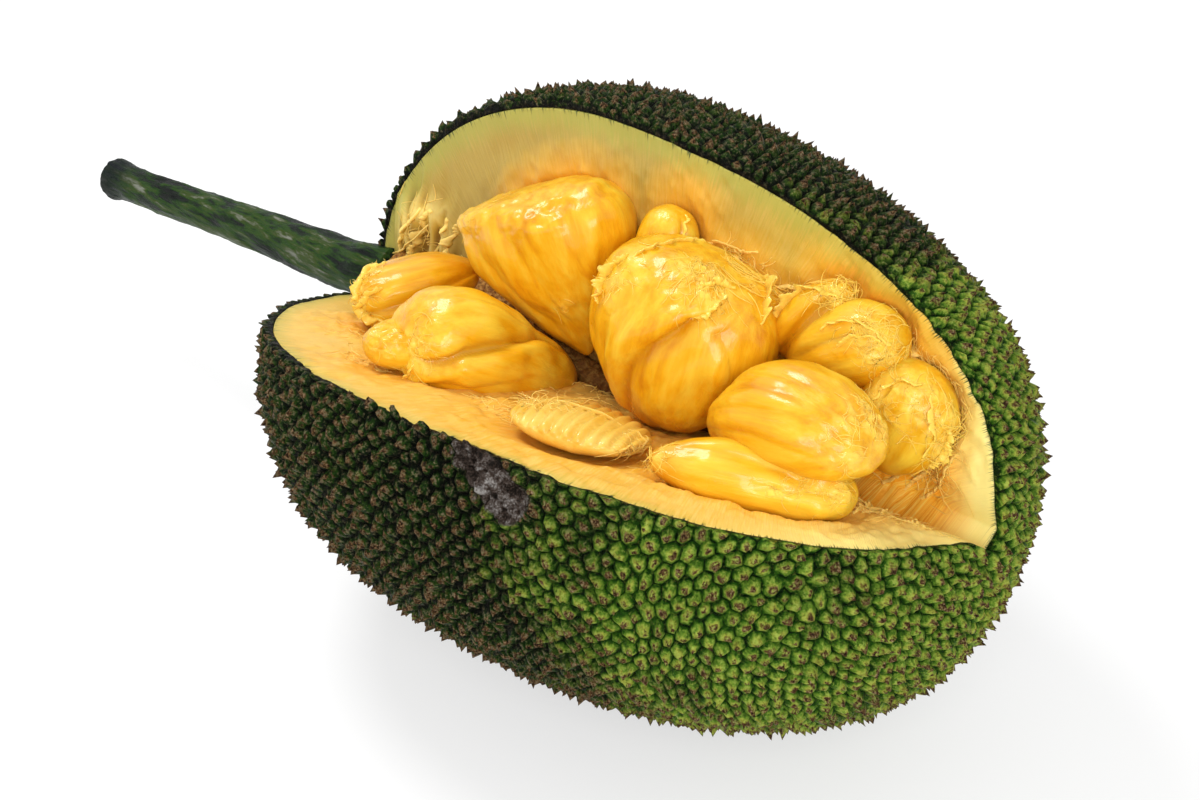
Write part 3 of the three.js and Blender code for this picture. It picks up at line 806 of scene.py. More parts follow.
# Tufts of loose fibre: the face, x, reach, spread along x, spread up the slope, threads, length,
# how far they lift and the way they mostly run, from along x to up the slope.
TUFTS = (
    (True, -101, 34, 13, 12, 30, 7, 1.6, 80), (True, -88, 24, 9, 9, 20, 7, 1.4, 110),
    (True, 156, 16, 9, 12, 100, 18, 2.0, 62), (True, 167, 36, 7, 10, 80, 8, 3.0, 60),
    (True, 156, 52, 12, 6, 70, 7, 2.0, 100), (True, 96, 64, 14, 5, 60, 7, 2.0, 20),
    (True, 132, 56, 14, 6, 70, 8, 2.0, 30), (True, 66, 72, 9, 4, 30, 6, 1.4, 10),
    (False, 156, 14, 9, 10, 90, 17, 1.6, 70), (False, 172, 12, 8, 8, 40, 12, 0.8, 60),
    (False, 100, 62, 9, 5, 50, 8, 1.6, 60),
    (False, -30, 88, 12, 5, 30, 7, 1.0, 70), (False, 30, 78, 16, 5, 40, 6, 1.0, 120),
    (False, -60, 66, 12, 8, 30, 7, 1.0, 80), (False, 15, 24, 40, 10, 70, 6, 1.2, 20),
)
# Torn lips on the cut faces: height, lean, thickness, the face, and the path as (x, reach) stops.
FACE_LIPS = (
    (4.0, 0.4, 2.2, True, ((-116, 14), (-113, 26), (-107, 38), (-100, 47))),
    (4.2, -0.5, 2.4, True, ((-106, 16), (-103, 28), (-98, 40), (-95, 48))),
    (4.0, 0.6, 2.4, True, ((-96, 12), (-93, 24), (-90, 36), (-86, 46))),
    (3.4, -0.5, 2.0, True, ((-88, 20), (-84, 30), (-82, 40), (-80, 46))),
    (2.4, -0.5, 1.2, True, ((48, 73), (58, 76), (68, 75), (76, 77))),
    (3.4, 0.6, 1.3, True, ((80, 64), (90, 68), (100, 69), (112, 68), (122, 66))),
    (3.6, 0.6, 1.4, True, ((118, 61), (130, 63), (142, 63), (152, 58), (161, 50))),
    (3.8, 0.5, 1.4, True, ((160, 52), (166, 43), (169, 34), (169, 26))),
    (3.0, 0.6, 1.2, True, ((152, 47), (161, 40), (164, 31))),
    (3.6, 0.5, 1.8, True, ((140, 2), (149, 10), (157, 22), (163, 36))),
    (3.0, -0.4, 1.6, True, ((148, 2), (156, 10), (163, 20), (168, 32))),
    (2.6, 0.4, 1.6, True, ((156, 1), (164, 8), (170, 17), (173, 28))),
    (2.8, 0.4, 1.6, False, ((146, 2), (150, 12), (156, 26), (158, 34))),
    (2.4, -0.4, 1.6, False, ((154, 2), (158, 12), (164, 24), (166, 30))),
    (1.8, 0.4, 1.8, False, ((162, 3), (168, 10), (175, 17), (182, 22))),
    (1.6, -0.4, 1.8, False, ((150, 32), (160, 26), (170, 22), (180, 18))),
    (2.4, 0.4, 1.2, False, ((96, 68), (104, 62), (110, 54))),
)
# One long straw by the stalk, as (x, reach) stops.
STRAW = ((-116, 22), (-106, 27), (-97, 36), (-87, 45))
STRAW_LIFT, STRAW_RADIUS = (1.5, 10.5), 0.55
TUFT_RADII = (0.16, 0.42)
TUFT_LIMIT = 0.93
FACE_LIP_STEPS = 120


def inside_share(points):
    """How far out each point lies, from 0 on the fruit's axis to 1 on its skin."""
    away = points - AXIS_MIDDLE
    u = np.clip(away[..., 0] / HALF_LENGTH, -1, 1)
    radius = profile_radius(u) * section_share(np.arctan2(away[..., 2], away[..., 1]))
    return np.hypot(away[..., 1], away[..., 2]) / np.maximum(radius, 1)


def tuft_threads():
    rng = np.random.default_rng(31)
    t = np.linspace(0, 1, THREAD_STEPS)
    all_paths, all_thick = [], []
    for far, x, reach, spread_x, spread_reach, count, size, rise, way in TUFTS:
        heading = np.radians(way) + rng.normal(0, 0.7, (count, 1)) + rng.normal(0, 1.0, (count, 1)) * t
        step = size * rng.uniform(0.5, 1.4, (count, 1)) / (THREAD_STEPS - 1)
        xs = x + spread_x * rng.normal(0, 0.6, (count, 1)) + np.cumsum(np.cos(heading) * step, axis=1)
        reaches = reach + spread_reach * rng.normal(0, 0.6, (count, 1))
        reaches = reaches + np.cumsum(np.sin(heading) * step, axis=1)
        high = thread_rise(rng, rise, count, bowed=2.0, sunk=0.1)
        all_paths.append(face_places(xs, np.clip(reaches, 1, None), high, far))
        all_thick.append(thread_radii(rng, TUFT_RADII, count))
    t, xs, reaches = (row[None] for row in along_path(STRAW, THREAD_STEPS))
    all_paths.append(face_places(xs, reaches, STRAW_LIFT[0] + (STRAW_LIFT[1] - STRAW_LIFT[0]) * t, True))
    all_thick.append(STRAW_RADIUS * (1 - 0.4 * t))
    paths, thick = np.vstack(all_paths), np.vstack(all_thick)
    kept = inside_share(paths).max(axis=1) < TUFT_LIMIT
    return thread_mesh("tufts", paths[kept], thick[kept])


def flesh_piece():
    obj = smooth_body("flesh_cut", FLESH_OUTSIDE, ring_count=120, sides=120)
    cut_away(obj, wedge_cutter("wedge_a"))
    solid_count = len(obj.data.vertices)
    join(obj, tuft_threads())
    for index, (height, lean, thickness, far, path) in enumerate(FACE_LIPS):
        t, x, reach = along_path(path, FACE_LIP_STEPS)
        stray = line_noise(t, 7, 40 + index)
        foot = face_places(x + 2.5 * stray, reach, 0 * t, far)
        stand = np.broadcast_to(STANDING if far else LYING, foot.shape)
        bend = lean * (1 + 0.9 * line_noise(t, 12, 60 + index))
        tall = lip_height(height, t, 80 + index, 0.9)
        join(obj, lip_mesh("lip", foot, stand, tall, thickness, bend))
    points = mesh_points(obj)
    apex = apex_line(points[:, 0])
    reach = np.linalg.norm(points - apex, axis=1)
    rag_share, fold = rag_folds(points)
    set_attributes(obj, depth=skin_depths(points), bulb_gap=nearest_bulb(points), reach=reach,
                   rag=rag_share, fold=fold, pale=np.arange(len(points)) >= solid_count,
                   fan=(points[:, 0] - AXIS_MIDDLE[0]) / (60 + 0.9 * reach) * 100,
                   far_side=(points - apex) @ FAR_SLOPE > (points - apex) @ NEAR_SLOPE)
    return obj


# ---------------------------------------------------------------- rind

def skin_steps():
    """Steps along the skin with the area so far and the reach of the map that keeps small shapes."""
    u = -np.cos(np.pi * np.arange(4000) / 4000)
    middle = profile_radius((u[1:] + u[:-1]) / 2)
    slant = np.hypot(np.diff(u) * HALF_LENGTH, np.diff(profile_radius(u)))
    area = np.concatenate([[0], np.cumsum(middle * slant)])
    reach = np.concatenate([[0], np.cumsum(slant / middle)])
    return u, area, reach


def spine_spots():
    """Spines stand in golden-angle order, each on an equal share of the skin."""
    u_steps, area, reach = skin_steps()
    number = np.arange(SPINE_COUNT)
    share = area[-1] * (number + 0.5) / SPINE_COUNT
    u = np.interp(share, area, u_steps)
    height = np.tanh(np.interp(share, area, reach) - np.interp(area[-1] / 2, area, reach))
    angle = number * GOLDEN_ANGLE
    radius = np.sqrt(1 - height ** 2)
    on_ball = np.stack([radius * np.cos(angle), radius * np.sin(angle), height], axis=-1)
    return u, angle, on_ball


def neighbour_triangles(on_ball):
    """Triangles between neighbouring spines: the hull of the spots on a ball."""
    editor = bmesh.new()
    for place in on_ball:
        editor.verts.new(place)
    editor.verts.index_update()
    bmesh.ops.convex_hull(editor, input=editor.verts)
    bmesh.ops.triangulate(editor, faces=editor.faces)
    triangles = []
    for face in editor.faces:
        corners = [v.index for v in face.verts]
        outward = face.normal.dot(face.calc_center_median())
        triangles.append(corners if outward > 0 else corners[::-1])
    editor.free()
    return np.array(triangles)


# The dead patch below the near lip, as (u, angle in degrees) stops along its middle.
SCAR_PATH = ((0.19, 161.0), (0.24, 162.5), (0.29, 165.0), (0.335, 166.5))
SCAR_HALF_WIDTH = 7.0
CRUST_TOP = -2.0
CRUST_BOTTOM = -2.6
CRUST_LUMP = 2.4


def scar_share(points):
    """1 in the dead patch and 0 away from it."""
    along, u, degrees = along_path(SCAR_PATH, 30)
    middle = skin_point(u, np.radians(degrees), 3.0)
    wide = SCAR_HALF_WIDTH * (0.7 + 0.6 * along)
    distance = np.linalg.norm(points[..., None, :] - middle, axis=-1) / wide
    return 1 - smoothstep(0.85, 1.25, distance.min(axis=-1) + 0.25 * noise(points, 6.0, 77, 2))


def spine_faces(corners, pair_index, starts, tip_start):
    """Where two spines meet, each has a face up to its first ring, one to its second and one to its
    point. corners gives the triangle on one side of each pair of spines."""
    faces = []
    for (a, b), left in corners.items():
        right = corners[b, a]
        low_l, low_r = starts[0] + pair_index[a, left], starts[0] + pair_index[a, right]
        high_l, high_r = starts[1] + pair_index[a, left], starts[1] + pair_index[a, right]
        faces.append((right, left, low_l, low_r)[::-1])
        faces.append((low_r, low_l, high_l, high_r)[::-1])
        faces.append((high_r, high_l, tip_start + a)[::-1])
    return faces


def spiny_skin(name):
    """Each spine rises from its whole six-sided cell to a narrow point."""
    rng = np.random.default_rng(5)
    u, angle, on_ball = spine_spots()
    u = np.clip(u + rng.uniform(-0.009, 0.009, SPINE_COUNT) * (1 - np.abs(u)), -1, 1)
    angle = angle + rng.uniform(-0.018, 0.018, SPINE_COUNT)
    height = SPINE_HEIGHT + SPINE_HEIGHT_SPREAD * (rng.random(SPINE_COUNT) - 0.75)
    kind = rng.random(SPINE_COUNT)
    triangles = neighbour_triangles(on_ball)
    ground = skin_point(u, angle, 0.0)
    scar = scar_share(ground)
    height = height * (1 - 0.45 * scar * rng.random(SPINE_COUNT))
    top = skin_point(u, angle, height)
    lean = rng.normal(0, 0.85, (SPINE_COUNT, 3)) + np.array([0.3, 0, 0])
    pull = (1 / rng.uniform(0.72, 1.28, SPINE_COUNT))[triangles][..., None]
    feet = (ground[triangles] * pull).sum(axis=1) / pull.sum(axis=1)
    corners = {}
    for index, (a, b, c) in enumerate(triangles):
        corners[a, b] = corners[b, c] = corners[c, a] = index
    points, tip_share, kinds = [feet], [np.zeros(len(feet))], [np.full(len(feet), 0.5)]
    spine_of = triangles.ravel()
    foot_of = np.repeat(np.arange(len(triangles)), 3)
    pair_index = {pair: row for row, pair in enumerate(zip(spine_of, foot_of))}
    up = unit_rows(top - ground)
    starts = []
    for inwards, rise in SPINE_LEVELS:
        starts.append(sum(len(p) for p in points))
        level = feet[foot_of] + (ground[spine_of] - feet[foot_of]) * inwards
        level = level + up[spine_of] * (height[spine_of] * rise)[:, None] + lean[spine_of] * rise ** 2 * 0.6
        points.append(level + rng.normal(0, 0.27, level.shape))
        tip_share.append(np.full(len(level), rise))
        kinds.append(kind[spine_of])
    tip_start = sum(len(p) for p in points)
    points.append(top + lean)
    tip_share.append(np.ones(SPINE_COUNT))
    kinds.append(kind)
    low, high = np.array(CAD_BOX[0]) / MM, np.array(CAD_BOX[1]) / MM
    points = np.clip(np.vstack(points), low + 0.1 * (low < 0), high - 0.1)
    obj = build_piece(name, points, spine_faces(corners, pair_index, starts, tip_start))
    return obj, points, np.concatenate(tip_share), np.concatenate(kinds)


def crust_height(points):
    return 1.9 + 3.6 * noise(points, 3.4, 90, 3) + 1.4 * noise(points, 1.3, 95, 2)


def scar_crust():
    """A lumpy shell over the dead patch, sunk below the spines at its edges."""
    u = np.linspace(0.14, 0.39, 60)[:, None]
    angle = np.radians(np.linspace(155.0, 174.0, 58))[None, :]
    ground = skin_point(u, angle, 0.0)
    top = skin_point(u, angle, CRUST_TOP + scar_share(ground) * (crust_height(ground) + CRUST_LUMP))
    bottom = skin_point(u, angle, CRUST_BOTTOM)
    rows, columns = ground.shape[:2]
    rings = np.concatenate([top, bottom[:, ::-1]], axis=1)
    faces = [face[::-1] for face in ring_faces(rows, columns * 2)]
    for start in (0, (rows - 1) * columns * 2):
        for k in range(columns - 1):
            face = (start + k, start + k + 1, start + 2 * columns - 2 - k, start + 2 * columns - 1 - k)
            faces.append(face[::-1] if start else face)
    return build_piece("crust", rings.reshape(-1, 3), faces)


def rind_piece():
    obj, points, tip_share, kinds = spiny_skin("rind_skin")
    triangulate(obj)
    cut_away(obj, smooth_body("inner", RIND_INSIDE, ring_count=64, sides=52))
    cut_away(obj, wedge_cutter("wedge_b"))
    keep_biggest(obj)
    crust = scar_crust()
    cut_away(crust, wedge_cutter("wedge_c"))
    keep_biggest(crust)
    join(obj, crust)
    tree = point_tree(points)
    places = mesh_points(obj)
    nearest = np.array([tree.find(place)[1] for place in places])
    scar = scar_share(places)
    tip = np.where(scar > 0.3, crust_height(places) / 4.5, tip_share[nearest])
    set_attributes(obj, tip=tip, kind=kinds[nearest], scar=scar)
    return obj


# ---------------------------------------------------------------- core and stalk

CORE_STOPS = (
    ((-114, -17, 124), 6.5), ((-94, -14, 132), 6), ((-68, -12, 131), 6), ((-40, -10, 127), 6.5),
    ((-6, -8, 115), 6.5), ((34, -4, 107), 6.5), ((90, 2, 107), 5.5), ((130, 8, 106), 3.5),
    ((158, 11, 105), 2.5),
)
STEM_STOPS = (
    ((-345.7, -19, 91), 8.4), ((-344.6, -19, 91), 10.2), ((-341, -19, 91.6), 9.9), ((-330, -19, 92.9), 8.7),
    ((-300, -19, 96.3), 8.8), ((-250, -19, 102.8), 9.3), ((-200, -19, 108.6), 10.2),
    ((-150, -19, 114), 11.6), ((-129, -18.5, 118.5), 11.6), ((-115, -17.5, 123.5), 9),
)


def spline(stops, count):
    """Evenly stepped points and sizes on a smooth path through the stops."""
    values = np.array([(*place, size) for place, size in stops], float)
    padded = np.vstack([2 * values[0] - values[1], values, 2 * values[-1] - values[-2]])
    steps = np.linspace(0, len(values) - 1 - 1e-9, count)
    k = steps.astype(int)
    t = (steps - k)[:, None]
    a, b, c, d = (padded[k + n] for n in range(4))
    path = 0.5 * (2 * b + (c - a) * t + (2 * a - 5 * b + 4 * c - d) * t ** 2
                  + (3 * b - a - 3 * c + d) * t ** 3)
    return path[:, :3], path[:, 3]


def strand_rings(stops, count, sides, rough, seed, streak):
    """Rings of a rough strand on a smooth path, with lumps that are streak millimetres long."""
    path, size = spline(stops, count)
    ahead = unit_rows(np.gradient(path, axis=0))
    up = unit_rows(np.array([0, 0, 1.0]) - ahead * ahead[:, 2:3])
    side = np.cross(up, ahead)
    angle = turn(sides)
    around = np.stack([
        np.broadcast_to(np.cos(angle), (count, sides)) * 8,
        np.broadcast_to(np.sin(angle), (count, sides)) * 8,
        np.broadcast_to(path[:, :1], (count, sides)),
    ], axis=-1)
    radius = size[:, None] * (1 + rough * noise(around, (2.5, 2.5, streak), seed, 3))
    return (path[:, None] + side[:, None] * (radius * np.cos(angle))[..., None]
            + up[:, None] * (radius * np.sin(angle))[..., None]), path


def core_piece():
    rings, path = strand_rings(CORE_STOPS, count=340, sides=40, rough=0.30, seed=71, streak=3.0)
    return build_piece("core_strand", *loft(path[0], rings, path[-1]))


def stalk_piece():
    rings, path = strand_rings(STEM_STOPS, count=340, sides=64, rough=0.10, seed=81, streak=12.0)
    return build_piece("stalk_bark", *loft(path[0], rings, path[-1]))


# ---------------------------------------------------------------- materials

SCATTER = (0.006, 0.003, 0.001)
CREAM = (1.0, 0.86, 0.30)


class Finish:
    """A node material that is built up from its shader."""

    def __init__(self, name, roughness, **constants):
        self.material = bpy.data.materials.new(name)
        self.material.use_nodes = True
        self.nodes = self.material.node_tree.nodes
        self.links = self.material.node_tree.links
        self.shader = self.nodes["Principled BSDF"]
        self.shader.inputs["Roughness"].default_value = roughness
        for socket, value in constants.items():
            self.shader.inputs[socket.replace("_", " ")].default_value = value

    def node(self, kind, **inputs):
        node = self.nodes.new(kind)
        for key, value in inputs.items():
            self.feed(node.inputs[key.replace("_", " ")], value)
        return node

    def feed(self, socket, value):
        if isinstance(value, bpy.types.NodeSocket):
            self.links.new(value, socket)
        else:
            socket.default_value = value

    def attribute(self, name):
        node = self.nodes.new("ShaderNodeAttribute")
        node.attribute_name = name
        return node.outputs["Fac"]

    def place(self):
        return self.node("ShaderNodeTexCoord").outputs["Object"]

    def along(self, axis):
        return self.node("ShaderNodeSeparateXYZ", Vector=self.place()).outputs[axis]

    def vector(self, x, y, z):
        return self.node("ShaderNodeCombineXYZ", X=x, Y=y, Z=z).outputs["Vector"]

    def noise(self, scale, detail, vector=None, roughness=0.55):
        node = self.node("ShaderNodeTexNoise", Scale=scale, Detail=detail, Roughness=roughness)
        self.feed(node.inputs["Vector"], vector or self.place())
        return node.outputs["Fac"]

    def math(self, operation, a, b):
        node = self.nodes.new("ShaderNodeMath")
        node.operation = operation
        self.feed(node.inputs[0], a)
        self.feed(node.inputs[1], b)
        return node.outputs[0]

    def add(self, *values):
        return reduce(lambda a, b: self.math("ADD", a, b), values)

    def times(self, *values):
        return reduce(lambda a, b: self.math("MULTIPLY", a, b), values)

    def fit(self, value, low, high, to_low=0.0, to_high=1.0):
        """The value's place between low and high, given as one between to_low and to_high."""
        node = self.nodes.new("ShaderNodeMapRange")
        for key, item in zip(range(5), (value, low, high, to_low, to_high)):
            self.feed(node.inputs[key], item)
        return node.outputs["Result"]

    def ramp(self, value, *stops):
        """A colour by value, from stops of (value, colour)."""
        node = self.nodes.new("ShaderNodeValToRGB")
        self.feed(node.inputs["Fac"], value)
        while len(node.color_ramp.elements) < len(stops):
            node.color_ramp.elements.new(0.5)
        for element, (place, colour) in zip(node.color_ramp.elements, stops):
            element.position = place
            element.color = (*colour, 1)
        return node.outputs["Color"]

    def mix(self, share, first, second):
        node = self.nodes.new("ShaderNodeMix")
        node.data_type = "RGBA"
        self.feed(node.inputs["Factor"], share)
        for socket, value in ((node.inputs[6], first), (node.inputs[7], second)):
            self.feed(socket, (*value, 1) if isinstance(value, tuple) else value)
        return node.outputs[2]

    def bump(self, height, distance, strength=1.0):
        """Relief over any relief that is there already."""
        node = self.node("ShaderNodeBump", Strength=strength, Distance=distance, Height=height)
        if self.shader.inputs["Normal"].is_linked:
            self.links.new(self.shader.inputs["Normal"].links[0].from_socket, node.inputs["Normal"])
        self.links.new(node.outputs["Normal"], self.shader.inputs["Normal"])

    def finish(self, colour, roughness=None):
        self.feed(self.shader.inputs["Base Color"], colour)
        if roughness is not None:
            self.feed(self.shader.inputs["Roughness"], roughness)
        return self.material


def rind_finish():
    """Browner, darker skin at the stalk end and greener skin at the blossom end: partly the skin's own colour
    and partly painted shade, darker towards the stalk end and the back. With scabby brown tips, dark pits,
    painted glints on the tips, painted shade in the valleys between spines and the grey crust of the dead
    patch."""
    f = Finish("rind_finish", 0.6, Specular_IOR_Level=0.07)
    tip, kind, scar = f.attribute("tip"), f.attribute("kind"), f.attribute("scar")
    speckle, mottle, patch = f.noise(1300, 4), f.noise(300, 4), f.noise(22, 3)
    grit = f.noise(720, 5, roughness=0.7)
    # Mix of a near-black skin and a green skin by x, y and noise. It is partly the skin's own browner and
    # greener colour and partly painted shade, darker towards the stalk end and the back.
    fresh_and_lit = f.add(f.fit(f.along("X"), 0.060, 0.165, -0.55, 1.05), f.fit(patch, 0.35, 0.65, -0.45, 0.45),
                  f.fit(f.along("Y"), -0.04, 0.09, 0.04, -0.06), f.fit(kind, 0.0, 1.0, 0.30, -0.30))
    fresh_and_lit = f.fit(fresh_and_lit, 0.0, 1.0)
    height = f.add(tip, f.fit(mottle, 0.3, 0.7, -0.22, 0.22))
    # Both ramps run near black at the spine feet: painted shade in the valleys between spines.
    green = f.ramp(height, (0.0, (0.002, 0.014, 0.001)), (0.24, (0.022, 0.090, 0.004)),
                   (0.48, (0.150, 0.275, 0.026)), (0.68, (0.39, 0.42, 0.060)), (0.82, (0.12, 0.060, 0.015)))
    dark = f.ramp(f.add(height, f.fit(kind, 0.0, 1.0, -0.16, 0.12)),
                  (0.0, (0.0006, 0.0009, 0.0004)), (0.25, (0.0025, 0.007, 0.0008)),
                  (0.50, (0.012, 0.042, 0.003)), (0.70, (0.038, 0.052, 0.007)), (0.88, (0.105, 0.055, 0.028)))
    colour = f.mix(fresh_and_lit, dark, green)
    scab = f.add(height, f.fit(kind, 0.0, 1.0, -0.14, 0.12), f.fit(f.along("Y"), -0.02, 0.08, 0.0, -0.09))
    scab_colour = f.ramp(speckle, (0.38, (0.028, 0.012, 0.006)), (0.5, (0.110, 0.055, 0.020)),
                         (0.60, (0.21, 0.12, 0.055)), (0.72, (0.42, 0.32, 0.20)))
    colour = f.mix(f.fit(scab, 0.62, 0.76), colour, scab_colour)
    pits = f.times(f.fit(grit, 0.48, 0.39, 0.0, 0.92), f.fit(fresh_and_lit, 0.0, 1.0, 1.0, 0.55))
    colour = f.mix(pits, colour, (0.001, 0.0015, 0.0005))
    # Pale speckles, most of them on the spine tips: painted glints standing in for wet highlights.
    painted_glints = f.times(f.fit(grit, 0.535, 0.60, 0.0, 0.85), f.fit(tip, 0.2, 0.6, 0.2, 1.0))
    colour = f.mix(painted_glints, colour, f.mix(fresh_and_lit, (0.175, 0.145, 0.080), (0.40, 0.50, 0.085)))
    crust = f.ramp(f.add(tip, f.fit(speckle, 0.3, 0.7, -0.28, 0.28)),
                   (0.10, (0.010, 0.007, 0.005)), (0.36, (0.050, 0.034, 0.026)),
                   (0.58, (0.12, 0.10, 0.088)), (0.90, (0.34, 0.32, 0.30)))
    f.bump(grit, 0.0016)
    f.bump(mottle, 0.0012, 0.8)
    return f.finish(f.mix(f.fit(scar, 0.35, 0.75), colour, crust), f.fit(mottle, 0.38, 0.62, 0.30, 0.80))


def flesh_finish():
    """Cream on the near face and a darker, duller copy of it on the far one as painted shade, cream at the
    blossom-end corner as painted light, orange round the bulbs with painted shade in the grooves next to
    them, brown by the core, deep orange in the torn trough at the blossom end, painted shade in the hollows
    of the rag folds, and green next to the skin."""
    f = Finish("flesh_finish", 0.48, Subsurface_Weight=0.10, Subsurface_Radius=SCATTER,
               Specular_IOR_Level=0.35)
    gap, reach, far_side = f.attribute("bulb_gap"), f.attribute("reach"), f.attribute("far_side")
    x = f.along("X")
    fibre = f.noise(1.6, 4, f.vector(f.attribute("fan"), f.times(reach, 0.05), 0.0))
    blotch, grain = f.noise(26, 3), f.noise(480, 4)
    cloud = f.fit(blotch, 0.35, 0.65)
    # The far face gets a darker, duller copy of the near face's cream: painted shade, with less of it towards
    # the blossom end.
    near = f.mix(cloud, (0.78, 0.455, 0.058), (0.81, 0.525, 0.100))
    far = f.mix(cloud, (0.40, 0.265, 0.040), (0.44, 0.32, 0.062))
    far = f.mix(f.fit(x, 0.04, 0.13), far, (0.64, 0.40, 0.030))
    # Both faces turn cream at the blossom-end corner: painted light there, which also holds back the orange
    # by the bulbs.
    corner = f.fit(x, 0.150, 0.182)
    far = f.mix(corner, far, CREAM)
    near = f.mix(f.times(corner, 0.7), near, CREAM)
    colour = f.mix(far_side, near, far)

    warm = f.add(f.fit(gap, 1, 18, 1.0, 0.0), f.fit(blotch, 0.3, 0.7, -0.2, 0.2))
    warm = f.times(f.fit(warm, 0.15, 1.0), f.fit(corner, 0.0, 1.0, 1.0, 0.35))
    colour = f.mix(warm, colour, (0.86, 0.42, 0.022))
    # Dark orange-brown on the flesh within 3 mm of a bulb: painted shade in the grooves round the bulbs.
    colour = f.mix(f.fit(gap, 0.5, 3.0, 0.85, 0.0), colour, (0.40, 0.14, 0.008))
    brown = f.ramp(grain, (0.35, (0.13, 0.040, 0.004)), (0.5, (0.30, 0.12, 0.014)),
                   (0.66, (0.56, 0.30, 0.06)))
    middle = f.times(f.fit(x, 0.085, 0.125, 1.0, 0.0), f.fit(reach, 9, 22, 0.95, 0.0))
    colour = f.mix(middle, colour, brown)
    trough = f.times(f.fit(x, 0.115, 0.135), f.fit(x, 0.166, 0.184, 1.0, 0.0),
                     f.fit(reach, 16, 40, 0.90, 0.0))
    orange = f.ramp(fibre, (0.34, (0.80, 0.27, 0.004)), (0.52, (1.00, 0.48, 0.010)),
                    (0.66, (1.00, 0.72, 0.10)))
    colour = f.mix(trough, colour, orange)
    strokes = f.times(f.fit(fibre, 0.40, 0.72, 0.0, 0.38), f.fit(far_side, 0.0, 1.0, 1.0, 0.4))
    colour = f.mix(strokes, colour, (0.92, 0.72, 0.27))
    # The rags by the stalk are darker down in the hollows of their folds: painted shade following the fold
    # relief.
    folds = f.ramp(f.attribute("fold"), (0.2, (0.26, 0.13, 0.012)), (0.5, (0.58, 0.38, 0.060)),
                   (0.85, (0.80, 0.62, 0.18)))
    colour = f.mix(f.fit(f.attribute("rag"), 0.25, 0.65, 0.0, 0.9), colour, folds)

    edge = f.add(f.attribute("depth"), f.fit(fibre, 0.3, 0.7, -3.0, 3.0))
    band = f.fit(f.add(edge, f.times(far_side, -3.5)), 2.0, 9.5, 0.55, 0.0)
    colour = f.mix(f.times(band, f.fit(x, 0.12, 0.165, 1.0, 0.25)), colour, (0.36, 0.40, 0.07))
    colour = f.mix(f.fit(edge, 0.4, 2.8, 1.0, 0.0), colour, (0.035, 0.06, 0.010))
    colour = f.mix(f.times(f.attribute("pale"), 0.8), colour, (0.95, 0.68, 0.17))
    f.bump(fibre, 0.0006, 0.5)
    f.bump(grain, 0.0004, 0.35)
    return f.finish(colour, f.fit(fibre, 0.3, 0.7, 0.38, 0.58))


def bulb_finish(name, light, middle, deep, thread):
    """Wet and glossy, with streaks along the pod, and deep orange-brown painted shade in its creases and by
    its base.
    """
    f = Finish(name, 0.3, Subsurface_Weight=0.08, Subsurface_Radius=SCATTER,
               Specular_IOR_Level=0.30, Coat_Weight=0.26, Coat_Roughness=0.07)
    along = f.attribute("along")
    lengthwise = f.vector(f.attribute("across"), f.attribute("upward"), f.times(along, 0.09))
    stripe, fine, blotch = f.noise(0.17, 3, lengthwise), f.noise(0.9, 3, lengthwise), f.noise(45, 3)
    shade = f.add(f.times(stripe, 0.62), f.times(blotch, 0.38),
                  f.fit(f.attribute("tone"), 0.0, 2.0, 0.07, -0.21), f.fit(fine, 0.3, 0.7, -0.022, 0.022))
    colour = f.ramp(shade, (0.30, deep), (0.47, middle), (0.66, light))
    # Deep orange-brown in the creases and near the base, where the pod meets its neighbours and the core:
    # painted shade.
    colour = f.mix(f.fit(f.attribute("crease"), 0.25, 1.0, 0.0, 0.55), colour, (0.46, 0.14, 0.001))
    colour = f.mix(f.fit(along, 2.0, 20.0, 0.55, 0.0), colour, (0.58, 0.17, 0.001))
    colour = f.mix(f.times(f.attribute("pale"), 0.85), colour, thread)
    f.bump(stripe, 0.0008, 0.25)
    f.bump(fine, 0.0005, 0.45)
    return f.finish(colour, f.fit(blotch, 0.3, 0.7, 0.24, 0.42))


def core_finish():
    """Granular fibre: tan by the stalk, brown along the middle and orange at the blossom end."""
    f = Finish("core_finish", 0.7, Specular_IOR_Level=0.25)
    grain, x = f.noise(520, 4), f.along("X")
    tan = f.ramp(grain, (0.34, (0.14, 0.045, 0.006)), (0.5, (0.34, 0.15, 0.022)), (0.66, (0.62, 0.36, 0.09)))
    brown = f.mix(f.fit(x, -0.045, -0.005, 0.0, 0.62), tan, (0.10, 0.035, 0.003))
    f.bump(grain, 0.0010)
    return f.finish(f.mix(f.fit(x, 0.085, 0.115), brown, (0.80, 0.40, 0.03)))


def stalk_finish():
    """Dark green bark with near-black and grey streaks along it, and a blackened cut end."""
    f = Finish("stalk_finish", 0.45, Specular_IOR_Level=0.10)
    where = f.node("ShaderNodeMapping", Vector=f.place(), Scale=(0.16, 1, 1), Rotation=(0, 0.22, -0.12))
    where = where.outputs["Vector"]
    streak = f.noise(290, 6, where, roughness=0.65)
    bark = f.add(f.times(streak, 0.55), f.times(f.noise(95, 3, where), 0.45))
    green = f.ramp(bark, (0.41, (0.0005, 0.002, 0.001)), (0.47, (0.004, 0.014, 0.003)),
                   (0.51, (0.017, 0.055, 0.004)), (0.56, (0.040, 0.062, 0.010)), (0.62, (0.19, 0.20, 0.16)))
    f.bump(streak, 0.0026)
    colour = f.mix(f.fit(f.along("X"), -0.338, -0.316, 0.85, 0.0), green, (0.003, 0.005, 0.008))
    return f.finish(colour, f.fit(streak, 0.3, 0.7, 0.26, 0.60))


# ---------------------------------------------------------------- the scene

def dress(obj, node, material):
    obj.data.materials.clear()
    obj.data.materials.append(material)
    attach(obj, "root")
    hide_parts(node)


